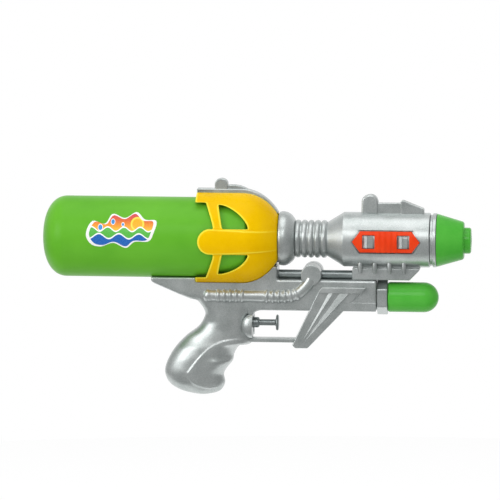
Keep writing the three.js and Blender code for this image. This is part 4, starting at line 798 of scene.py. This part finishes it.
def spine(side):
    """One side of the ridge that follows the cover's crown, with a long pocket at its rear end."""
    high, low = COVER_RADIUS + SPINE_RISE, COVER_RADIUS - SPINE_SINK
    crown = arc(DOME_START, 0, DOME_DEPTH + 0.7, high, 90, 33, 30, 1.88)
    under = arc(DOME_START, 0, DOME_DEPTH - 2.2, low, 33, 90, 30)
    outline = [(COVER_REAR, high), *crown, *under, (COVER_REAR, low)]
    shape = side_slab(about_axis(outline), side, SPINE_HALF, 0.9)
    return carved(shape, [slab(about_axis(oblong(-6.8, 5.6, 35.0, 38.4)), *sorted((side * 3.4, side * 9)))])


def spindle(x, side):
    """A rib with a swollen middle, standing on the rail against the drum."""
    swell = [(SPINDLE_HALF * t, 0.9 + 1.1 * math.sqrt(1 - t * t)) for t in SPINDLE_STEPS]
    shape = spun([(-SPINDLE_HALF, 0.0), *swell, (SPINDLE_HALF, 0.0)], 0, steps=24)
    return moved(turned(shape, -90, "Y"), x, side * 11.4, 69.6)


def barrel_half(side):
    """One half of the barrel's skin; the left one has the tubes of the screw wells."""
    shape = closed_half(barrel, side)
    if side < 0:
        return shape
    tubes = []
    for x, y, z in screw_places.values():
        if z > BARREL_SCREWS:
            tube = cross_rod(x, z, SCREW_WELL + WELL_WALL, y - WELL_FLOOR, THROUGH, steps=40)
            tubes.append(carved(tube, [bar(111, 178, DRUM_RADIUS - 0.4)], "INTERSECT"))
    return carved(carved(shape, tubes, "UNION"), screw_wells())


pocket = carved(belt(POCKET_FLOOR, 30.0, *PANEL_BELT), [slab(panel_outline(POCKET_GAP))], "INTERSECT")
barrel = carved(spun(barrel_profile()), [pocket])
for name, side in SIDES:
    shells = [barrel_half(side), spine(side)]
    shells += [side_slab(outline, side, half, edge) for outline, half, edge in BARREL_STANDS]
    shells += [spindle(x, side) for x in RAIL_RIBS]
    shells += [window_tooth(place, side) for place in WINDOW_PLACES]
    piece(f"barrel_{name}", joined(*shells), SILVER, "silver_body", f"barrel_shell_{name}", crease=32)
barrel.free()

# Orange panels with two windows and low ribs between them

PANEL_RIB_PITCH = 4.5
PANEL_RIB_RELIEF = 0.2
PANEL_GRAIN = 0.24


def panel_profile():
    """The belt that the panel is cut from, with low ribs in the middle."""
    rear, front = PANEL_BELT
    line = [(rear, PANEL_INSIDE), (front, PANEL_INSIDE), (front, PANEL_FACE)]
    for step in range(81):
        along = 9.0 - 18.0 * step / 80
        rise = PANEL_RIB_RELIEF * (1 - math.cos(math.tau * along / PANEL_RIB_PITCH))
        line.append((PANEL_MIDDLE + 0.9 + along, PANEL_FACE + rise))
    return line + [(rear, PANEL_FACE)]


def panel_window(place):
    """A window through the panel."""
    middle = PANEL_MIDDLE + place
    outline = oblong(middle - WINDOW_HALF, middle + WINDOW_HALF, -WINDOW_HEIGHT, WINDOW_HEIGHT)
    return slab(about_axis(outline))


panel = carved(spun(panel_profile()), [slab(panel_outline(0.0))], "INTERSECT")
panel = remoulded(carved(panel, [panel_window(place) for place in WINDOW_PLACES]), PANEL_GRAIN, 2)
halves(panel, "panel", PANEL_ORANGE, "orange_plastic", "barrel_panel")

# Muzzle: grooved ring, and nozzle cone with its tip

MUZZLE_BAND = [(178.9, 15.0), (178.9, 20.4), (180.9, 20.4), (180.9, 21.6), (183.7, 21.6), (183.7, 15.0)]
NOZZLE = [
    (184.0, 12.0), (184.0, 21.2), (204.6, 15.2), (205.6, 14.0), (205.6, 10.4), (209.7, 10.4),
    (210.7, 9.9), (211.1, 9.0), (211.1, 4.3), (190.0, 4.3), (190.0, 12.0),
]
piece("muzzle_band", spun(MUZZLE_BAND, edge=0.35), SILVER, "silver_body", "muzzle_ring")
piece("nozzle", spun(NOZZLE, edge=0.3), NOZZLE_GREEN, "green_plastic", "nozzle_cone")

# Pump: hexagonal nut, round-nosed handle and rod

NUT_MIDDLE = 140.9
NUT_RADIUS = 14.3
NUT_DEPTH = 8.4
NUT_BORE = 4.0
PUMP_GRIP = [
    (145.4, 3.9), (145.4, 11.2), (146.2, 12.0), *arc(173.6, 0, 12, 12, 90, 0, 24),
    (183.0, 0), (183.0, 1.0), (174.0, 8.0), (172.0, 10.0), (147.4, 10.0), (147.4, 3.9),
]
SHAFT_GROOVE = (72.4, 74.0)
SHAFT_CHAMFER = 0.4

nut = turned(turned(prism(6, NUT_RADIUS, NUT_DEPTH), 90, "Y"), 30, "X")
nut = carved(soften(tidy(nut), 0.8), [bar(-10, 10, NUT_BORE, 0)])
moved(nut, NUT_MIDDLE, 0, PUMP_AXIS)
piece("pump_nut", nut, SILVER, "silver_body", "pump_collar_nut")
grip = spun(PUMP_GRIP, PUMP_AXIS)
piece("pump_grip", grip, NOZZLE_GREEN, "green_plastic", "pump_handle", body="pump_unit")

shaft_low, shaft_high = [Vector(corner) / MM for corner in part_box("pump_rod")]
wide = (shaft_high.z - shaft_low.z) / 2
narrow = wide - SHAFT_CHAMFER
shaft = []
for rear, front in ((shaft_low.x, SHAFT_GROOVE[0]), (SHAFT_GROOVE[1], shaft_high.x)):
    shaft += [(rear, narrow), (rear + SHAFT_CHAMFER, wide), (front - SHAFT_CHAMFER, wide), (front, narrow)]
shaft = spun([(shaft_low.x, 0), *shaft, (shaft_high.x, 0)], PUMP_AXIS, steps=64)
piece("pump_shaft", shaft, WHITE_NYLON, "white_plastic", "pump_rod", body="pump_unit")

# Trigger: bush in the housing's face, and the push button on its stem

TRIGGER_COLLAR = [(33.0, 2.7), (33.0, 4.2), (41.6, 4.2), (42.4, 3.4), (42.4, 2.7)]
TRIGGER_BUTTON = [
    (24.0, 0), (24.0, 2.5), (54.4, 2.5), *arc(54.4, 4.4, 1.4, -1.9, 90, 0, 10), (55.9, 5.9),
    (56.3, 6.3), (56.8, 6.4), (57.4, 6.1), (57.8, 5.4), (57.95, 3.5), (58.0, 0),
]
# The collar and the button take the darker silver, which is painted shade.
collar = spun(TRIGGER_COLLAR, TRIGGER_AXIS, 0.25, steps=72)
piece("trigger_collar", collar, SHADED_SILVER, "silver_body", "trigger_bush")
button = spun(TRIGGER_BUTTON, TRIGGER_AXIS, steps=72)
piece("trigger_button", button, SHADED_SILVER, "silver_body", "trigger", body="trigger_unit")

# Return spring behind the stem, which shortens as the trigger is pressed

SPRING_TURNS = 5
SPRING_STEPS = 24
SPRING_RADIUS = 3.3
SPRING_WIRE = 0.45


def coil(rear, front):
    """A spring of round wire about the trigger's axis."""
    steps = SPRING_TURNS * SPRING_STEPS
    rings = []
    for step in range(steps + 1):
        x = rear + SPRING_WIRE + (front - rear - 2 * SPRING_WIRE) * step / steps
        angle = math.tau * step / SPRING_STEPS
        outward = Vector((0, math.cos(angle), math.sin(angle)))
        middle = Vector((x, 0, TRIGGER_AXIS)) + outward * SPRING_RADIUS
        rings.append((middle, outward * SPRING_WIRE, Vector((SPRING_WIRE, 0, 0)), 2.0))
    return lofted(rings, 10)


spring_rear, spring_front = [corner[0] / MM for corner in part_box("trigger_spring")]
spring = piece("return_spring", coil(spring_rear, spring_front), ZINC_STEEL, "steel", "trigger_spring")
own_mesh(spring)

# Brace rod from the block, through the boss, to the rail

ROD_RADIUS = 3.6
# The rod's darker silver is painted shade.
rod = bar(57.6, 116.7, ROD_RADIUS, ROD_AXIS, 0.3, 72)
piece("brace", rod, SHADED_SILVER, "silver_body", "brace_rod")

# Frame: receiver, tail, grip and trigger housing in one skin; guard, fin and pipes stand on it

FRAME_GRAIN = 0.7
RECEIVER_HALF = 14.0
RECEIVER_TAIL = [(-43.6, 59.4), (-43.6, 55.8), (-41.6, 54.3), (-9.6, 40.6)]
RECEIVER_BODY = [
    (-7.0, 42.0), (30.0, 42.0), (34.0, 31.0), (37.4, 26.0), (37.6, 29.4), (39.3, 32.0), (43.8, 33.5),
    (136.4, 33.5), (136.4, 58.2), (57.3, 58.2), (57.3, 69.0), (28.4, 69.0), (10.4, 59.4),
]
GRIP_BACK = [
    (-10.4, 44.0), (-6.4, 39.4), (-2.9, 35.2), (-1.2, 31.5), (-0.9, 28.5), (-5.6, 19.7), (-16, 11.5),
    (-25.6, 1), (-32, -11.1), (-32.9, -20), (-28, -28.2), (-17.6, -33.5), (-5.6, -35.8),
]
GRIP_FRONT = [
    (34.5, 48), (36.8, 38), (37.3, 26), (36.6, 6.8), (27.2, 4.2), (22.6, -2), (21.4, -8),
    (16.8, -14), (14, -19.3), (15.2, -26), (11.2, -32.9), (2.4, -35.4),
]
GRIP_HALVES = (14, 14, 13.8, 13.1, 13.6, 14.3, 14.8, 14.4, 12.2, 8.5, 4)
GRIP_FULLNESS = (5.0, 2.05)
GRIP_SECTIONS = 44
GRIP_PANEL = [
    (35.5, 9.3), (27.5, 10.0), (19.5, 9.5), (13.1, 8.2), (6.7, 5.3), (1.1, 1.3), (-4.5, -4.4), (-8.5, -9.3),
    (-13.7, -16.5), (-14.9, -18.9), (-12.5, -23.7), (-9.3, -26.9), (-4.5, -29.2), (0.3, -30.4), (5.1, -30.7),
    (13.1, -29.8), (24.0, -32.0), (34.0, -10.0), (44.0, 4.0),
]
PANEL_TOP = 13.0
PANEL_RELIEF = 0.5
RIM_RELIEF = 0.1
FINGER_CREST = -9.5
FINGER_SPREAD = (3.0, 9.0)
FINGER_RELIEF = 1.6
HOUSING_FACE = 37.5
HOUSING_OUT = 12.4
HOUSING_SIZE = (8.4, 4.6, 9.6)
BUSH_BORE = 4.5
PUMP_BORE = 8.7
BOSS = (84.5, 62.4)


def grip_form():
    """The hand grip, lofted between its back and front lines."""
    backs, fronts = [
        smooth_line([(x, 0, z) for x, z in line], GRIP_SECTIONS + 1) for line in (GRIP_BACK, GRIP_FRONT)
    ]
    flat, full = GRIP_FULLNESS
    rings = []
    for number, (back, front) in enumerate(zip(backs, fronts)):
        share = number / GRIP_SECTIONS
        place = share * (len(GRIP_HALVES) - 1)
        low = min(int(place), len(GRIP_HALVES) - 2)
        half = GRIP_HALVES[low] + (GRIP_HALVES[low + 1] - GRIP_HALVES[low]) * (place - low)
        fullness = flat + (full - flat) * step_up((share - 0.04) / 0.2)
        rings.append(((back + front) / 2, (front - back) / 2, Vector((0, half, 0)), fullness))
    return lofted(rings, 64)


def depth_inside(x, z, outline):
    """How far a side point lies inside an outline, negative outside."""
    inside = False
    nearest = 1e9
    for (ax, az), (bx, bz) in zip(outline, outline[1:] + outline[:1]):
        if (az > z) != (bz > z) and x < ax + (z - az) / (bz - az) * (bx - ax):
            inside = not inside
        dx, dz = bx - ax, bz - az
        share = min(max(((x - ax) * dx + (z - az) * dz) / (dx * dx + dz * dz), 0), 1)
        nearest = min(nearest, math.hypot(x - ax - share * dx, z - az - share * dz))
    return nearest if inside else -nearest


def blend_grip(shape):
    """Runs the receiver's sides smoothly into the grip's."""
    for shrink in range(10):
        low, high, rear, front = 24 + shrink, 52 - shrink, -20 + shrink, 34 - 0.5 * shrink
        points = [v for v in shape.verts if low < v.co.z < high and rear < v.co.x < front and abs(v.co.y) > 5]
        even_out(shape, points, 6)


def raise_grip_panel(shape):
    """The grip's raised side panel, and the swell between the fingers."""
    outline = [(p.x, p.y) for p in smooth_line([(x, z, 0) for x, z in GRIP_PANEL], 60, ring=True)]
    for point in shape.verts:
        x, y, z = point.co
        if z > PANEL_TOP or abs(y) < 1:
            continue
        depth = depth_inside(x, z, outline)
        if depth < -2:
            continue
        away = (z - FINGER_CREST) / FINGER_SPREAD[z < FINGER_CREST]
        swell = math.exp(-away * away) * step_up((x + 2) / 12) * step_up(depth / 3)
        rise = PANEL_RELIEF * step_up(depth / 0.6) + FINGER_RELIEF * swell
        rise += RIM_RELIEF * math.exp(-(depth / 0.55) ** 2)
        point.co.y += math.copysign(rise * step_up((abs(y) - 1) / 5), y)


def trigger_housing(side):
    """The rounded flare on the grip's side, round the trigger's bush."""
    shape = bmesh.new()
    bmesh.ops.create_uvsphere(shape, u_segments=48, v_segments=32, radius=1)
    bmesh.ops.scale(shape, vec=HOUSING_SIZE, verts=shape.verts)
    moved(shape, HOUSING_FACE, side * HOUSING_OUT, TRIGGER_AXIS - 1.6)
    front = slab(oblong(HOUSING_FACE, 60, 0, 50), -30, 30)
    return soften(carved(shape, [front, bar(20, 45, BUSH_BORE, TRIGGER_AXIS, steps=48)]), 0.3, 2, 40)


def cover_room():
    """The room under the cover, apart from the web that runs up between its halves."""
    skin = [(x, r + GAP) for x, r in dome(COVER_RADIUS, DOME_DEPTH, COVER_FRONT)]
    ends = [(COVER_FRONT + GAP, 19.7), (COVER_FRONT + GAP, 0)]
    room = spun([(COVER_REAR - GAP, 0), *skin, *ends])
    return carved(room, [slab(oblong(-30, 90, 0, BARREL_AXIS), -WEB_HALF, WEB_HALF)])


def tank_room():
    """The trough that the tank lies in."""
    radius = TANK_RADIUS + 0.6
    neck = [(40, 14.0), (62, 14.0), (62, 0)]
    return spun([(-140, 0), (-140, radius), (TANK_FRONT, radius), *neck])


def pump_bore():
    """The room for the pump's cylinder."""
    return bar(60, 150, PUMP_BORE, PUMP_AXIS, steps=64)


receiver = slab(RECEIVER_TAIL + RECEIVER_BODY, -RECEIVER_HALF, RECEIVER_HALF, 1.8)
receiver = carved(receiver, [cover_room(), tank_room()])
frame_form = carved(receiver, [grip_form(), cross_rod(*BOSS, 7.9, -9.0, 9.0)], "UNION")
bores = [
    bar(30, 45, BUSH_BORE, TRIGGER_AXIS, steps=48),
    pump_bore(),
    bar(50, 125, ROD_RADIUS + GAP, ROD_AXIS, steps=48),
]
frame_form = remoulded(carved(frame_form, bores + screw_wells()), FRAME_GRAIN, 3)
blend_grip(frame_form)
raise_grip_panel(frame_form)

FIN_FOOT = 3.2
FIN_HEAD = 52.9
FIN_FOOT_HALF = 12.4
FIN_HEAD_HALF = 15.2
FIN_BAND = 48.4
FIN_RELIEF = 2.4
FIN_TOP = [(90.8, 50.0), (93.5, FIN_HEAD), (128.6, FIN_HEAD)]
FIN_TOE = (77.0, 7.6)
FIN_RIDGES = ([98.6, 102.8, 107.2], [107.4, 115.8, 117.2])
RIDGE_RELIEF = (0.9, 1.4)


def fin_half(z):
    """The fin's half width at a height."""
    return FIN_FOOT_HALF + (FIN_HEAD_HALF - FIN_FOOT_HALF) * (z - FIN_FOOT) / (FIN_HEAD - FIN_FOOT)


def fin_core(side):
    """One side of the fin: a blade that widens upwards and forwards."""
    foot = [(69.4, FIN_FOOT + 2.4), (71.8, FIN_FOOT), (81.6, FIN_FOOT), (84.0, FIN_FOOT + 2.4)]
    shape = side_slab([*foot, *reversed(FIN_TOP)], side, FIN_FOOT_HALF)
    for point in shape.verts:
        if abs(point.co.y) > 1:
            point.co.y = side * fin_half(point.co.z)
    return soften(shape, 0.8)


def fin_band(side):
    """The plain band along the fin's top."""
    outline = [(90.1, FIN_BAND), *FIN_TOP, (124.3, FIN_BAND)]
    return side_slab(outline, side, FIN_HEAD_HALF + FIN_RELIEF, 0.6)


def fin_ridge(rear, crest, front, number, side):
    """A sharp fold in the fin's side, which runs out at the toe."""
    shape = bmesh.new()
    toe_x, toe_z = FIN_TOE[0] + 1.4 * number, FIN_TOE[1]
    loops = []
    for x0, x1, x2, z, rise in (
        (toe_x - 0.3, toe_x, toe_x + 0.3, toe_z, 0.05),
        (rear, crest, front, FIN_BAND + 1.0, RIDGE_RELIEF[number]),
    ):
        face = fin_half(z)
        corners = [(x0, face - 2), (x0, face - 0.2), (x1, face + rise), (x2, face - 0.2), (x2, face - 2)]
        points = [shape.verts.new((x, side * y, z)) for x, y in corners]
        shape.faces.new(points)
        loops += [edge for point in points for edge in point.link_edges]
    bmesh.ops.bridge_loops(shape, edges=list(set(loops)))
    return soften(tidy(shape), 0.25, 2, 30)


PIPE_OUT = 13.0
PIPE_HEIGHT = 44.9
PIPE_RADIUS = 4.8
PIPE_RIB = 0.9
PIPE_BULB = 0.7
PIPE_SECTIONS = 240
PIPE_PATH = [
    (-2.2, 0.0), (12.0, 0.0), (24.0, 0.0), (36.0, 0.0), (48.0, 0.0), (58.0, 0.0),
    (66.0, 0.4), (74.0, 2.6), (80.5, 8.3), (84.5, 14.3),
]
PIPE_RIBS = [10.3 + 4.8 * i for i in range(5)] + [49.1 + 4.8 * i for i in range(6)]


def moulded_pipe(side):
    """The ribbed half-sunk pipe along the receiver, round at its rear end and bent up to the boss."""
    path = smooth_line([(x, side * PIPE_OUT, PIPE_HEIGHT + z) for x, z in PIPE_PATH], PIPE_SECTIONS)
    rings = []
    travelled = 0.0
    for number, point in enumerate(path):
        before, after = path[max(number - 1, 0)], path[min(number + 1, PIPE_SECTIONS - 1)]
        travelled += (point - before).length
        nose = min(travelled / PIPE_RADIUS, 1.0)
        near = min(abs(travelled + PIPE_PATH[0][0] - rib) for rib in PIPE_RIBS)
        bulb = PIPE_BULB * step_up((7.5 - travelled) / 3.5)
        radius = (PIPE_RADIUS + bulb) * math.sqrt(max(1 - (1 - nose) ** 2, 0.004))
        radius += PIPE_RIB * step_up((1.75 - near) / 1.3)
        turn = (after - before).to_track_quat("Z", "Y").to_matrix()
        rings.append((point, turn.col[0] * radius, turn.col[1] * radius, 2.0))
    return lofted(rings, 32)


GUARD = oblong(33.4, 73.4, 6.9, 10.3)
LEDGE = oblong(108.0, 136.2, 33.7, 40.6)

for name, side in SIDES:
    skin, _ = split(frame_form, side)
    bmesh.ops.solidify(skin, geom=skin.faces[:], thickness=SHELL_WALL)
    folds = [fin_ridge(*places, number, side) for number, places in enumerate(FIN_RIDGES)]
    stands = [carved(blade, screw_wells()) for blade in (fin_core(side), *folds)]
    stands += [
        side_slab(LEDGE, side, RECEIVER_HALF + 0.45, 0.4),
        fin_band(side),
        cross_rod(*BOSS, 8.1, *sorted((side * 4.3, side * 16.8)), edge=0.6),
        moulded_pipe(side),
    ]
    shells = [skin, side_slab(GUARD, side, 5.5, 0.7), trigger_housing(side)]
    shells += [carved(stand, [pump_bore()]) for stand in stands]
    piece(f"frame_{name}", joined(*shells), SILVER, "silver_body", f"frame_shell_{name}", crease=38)
frame_form.free()

# Screws: pan heads with a cross, driven from the left side

SHANK = [(-14.0, 0), (-14.0, 1.3), (0, 1.3)]
PAN_HEAD = [(0, 2.6), (0.9, 2.6), (1.7, 1.9), (HEAD_HEIGHT, 0.9), (HEAD_HEIGHT, 0)]


def screw(x, y, z):
    """A pan head with a cross recess, and its shank."""
    bars = []
    for along, across in ((1.6, 0.28), (0.28, 1.6)):
        recess = bmesh.new()
        bmesh.ops.create_cube(recess, size=2)
        bmesh.ops.scale(recess, vec=(0.9, along, across), verts=recess.verts)
        bars.append(moved(recess, 1.9, 0, 0))
    shape = carved(spun(SHANK + PAN_HEAD, 0, steps=32), bars)
    return moved(turned(shape, 90, "Z"), x, y, z)


for name, place in sorted(screw_places.items()):
    piece(f"{name}_head", screw(*place), ZINC_STEEL, "steel", name)

# Hidden works keep their CAD shapes, each in its own finish

SLOT_FINISHES = {
    "silver_body": SILVER,
    "green_plastic": NOZZLE_GREEN,
    "yellow_plastic": COVER_YELLOW,
    "orange_plastic": PANEL_ORANGE,
    "white_plastic": WHITE_NYLON,
    "clear_hose": CLEAR_HOSE,
    "black_rubber": BLACK_RUBBER,
    "steel": ZINC_STEEL,
}
for part in frame["record"]["subparts"]:
    obj = frame["nodes"][part["node"]]
    obj.data.materials.clear()
    obj.data.materials.append(SLOT_FINISHES[part["material_slot"]])

# Stage: a white floor under soft light, a white backdrop, and the camera at the photograph's angle

FLOOR_MIDDLE = (0.04, 1.04, -0.36)
FLOOR_RADIUS = 1.2

floor_shape = bmesh.new()
bmesh.ops.create_circle(floor_shape, cap_ends=True, segments=96, radius=FLOOR_RADIUS)
floor = placed("floor", meshed("floor", moved(floor_shape, *FLOOR_MIDDLE)))

# White paper is matt; what the camera, gloss and clear plastic see of it is brought up to white.
paper = empty_finish("white_paper")
seen = add(paper, "ShaderNodeLightPath").outputs
direct = maths(paper, "MAXIMUM", seen["Is Camera Ray"], seen["Is Glossy Ray"])
strength = maths(paper, "MAXIMUM", direct, seen["Is Transmission Ray"])
glow = add(paper, "ShaderNodeEmission", {"Color": colour("#d2d2d2")}, {"Strength": strength})
matte = add(paper, "ShaderNodeBsdfDiffuse", {"Color": colour("#c8c8c8")})
lit = add(paper, "ShaderNodeAddShader", links={0: matte.outputs["BSDF"], 1: glow.outputs["Emission"]})
add(paper, "ShaderNodeOutputMaterial", links={"Surface": lit.outputs["Shader"]})
floor.data.materials.append(paper)

scene.view_settings.view_transform = "Standard"
world = bpy.data.worlds.new("studio")
world.use_nodes = True
world.node_tree.nodes.clear()
scene.world = world
seen = add(world, "ShaderNodeLightPath").outputs
way = add(world, "ShaderNodeTexCoord").outputs["Generated"]
axes = add(world, "ShaderNodeSeparateXYZ", links={"Vector": way}).outputs
# The room is dim in front and below, and brighter above and behind.
level = maths(world, "ADD", ranged(world, axes["Z"], 0.3, 0.5, -0.1, 1.0), ranged(world, axes["Y"], 0.0, 0.4))
room = add(world, "ShaderNodeBackground", {"Color": (1, 1, 1, 1)}, {"Strength": level}).outputs[0]
white = add(world, "ShaderNodeBackground", {"Color": (1, 1, 1, 1), "Strength": 1.0}).outputs[0]
# Gloss and clear plastic also show the white sheet, which hangs straight behind the object.
indirect = maths(world, "MAXIMUM", seen["Is Glossy Ray"], seen["Is Transmission Ray"])
sheet = maths(world, "MULTIPLY", indirect, ranged(world, axes["Y"], 0.0, 1.0, 0.6, 0.8))
shown = maths(world, "MAXIMUM", seen["Is Camera Ray"], sheet)
backdrop = add(world, "ShaderNodeMixShader", links={0: shown, 1: room, 2: white})
add(world, "ShaderNodeOutputWorld", links={"Surface": backdrop.outputs["Shader"]})

LIT_POINT = Vector((0.04, 0, 0.08))


def softbox(name, place, size, power, mirrored=True):
    """A square lamp that faces the object, and that gloss mirrors or not."""
    lamp = bpy.data.lights.new(name, "AREA")
    lamp.shape = "SQUARE"
    lamp.size = size
    lamp.energy = power
    obj = placed(name, lamp)
    obj.location = place
    obj.visible_camera = False
    obj.visible_glossy = mirrored
    obj.rotation_euler = (Vector(place) - LIT_POINT).to_track_quat("Z", "Y").to_euler()


softbox("top", (0.0, -0.25, 1.45), 1.2, 7.0)
softbox("key", (0.12, -1.3, 0.86), 0.55, 3.8)
softbox("left", (-1.05, -1.0, 0.53), 0.9, 9.6)
softbox("right", (1.4, -0.3, 0.5), 0.9, 3.0, mirrored=False)
softbox("fill", (0.1, -1.15, -0.85), 1.2, 7.0, mirrored=False)

AZIMUTH = math.radians(4.5)
ELEVATION = math.radians(6.0)
ROLL = math.radians(-0.26)
DISTANCE = 6.0
FRAME_WIDTH = 0.399
SENSOR = 36.0
TARGET = Vector((0.0345, 0.0, 0.0803))
back = Vector((
    math.sin(AZIMUTH) * math.cos(ELEVATION), -math.cos(AZIMUTH) * math.cos(ELEVATION), math.sin(ELEVATION)
))
lens = bpy.data.cameras.new("camera")
lens.sensor_fit = "HORIZONTAL"
lens.sensor_width = SENSOR
lens.lens = SENSOR * DISTANCE / FRAME_WIDTH
camera = placed("camera", lens)
camera.location = TARGET + back * DISTANCE
camera.rotation_euler = (back.to_track_quat("Z", "Y").to_matrix() @ Matrix.Rotation(-ROLL, 3, "Z")).to_euler()
scene.camera = camera
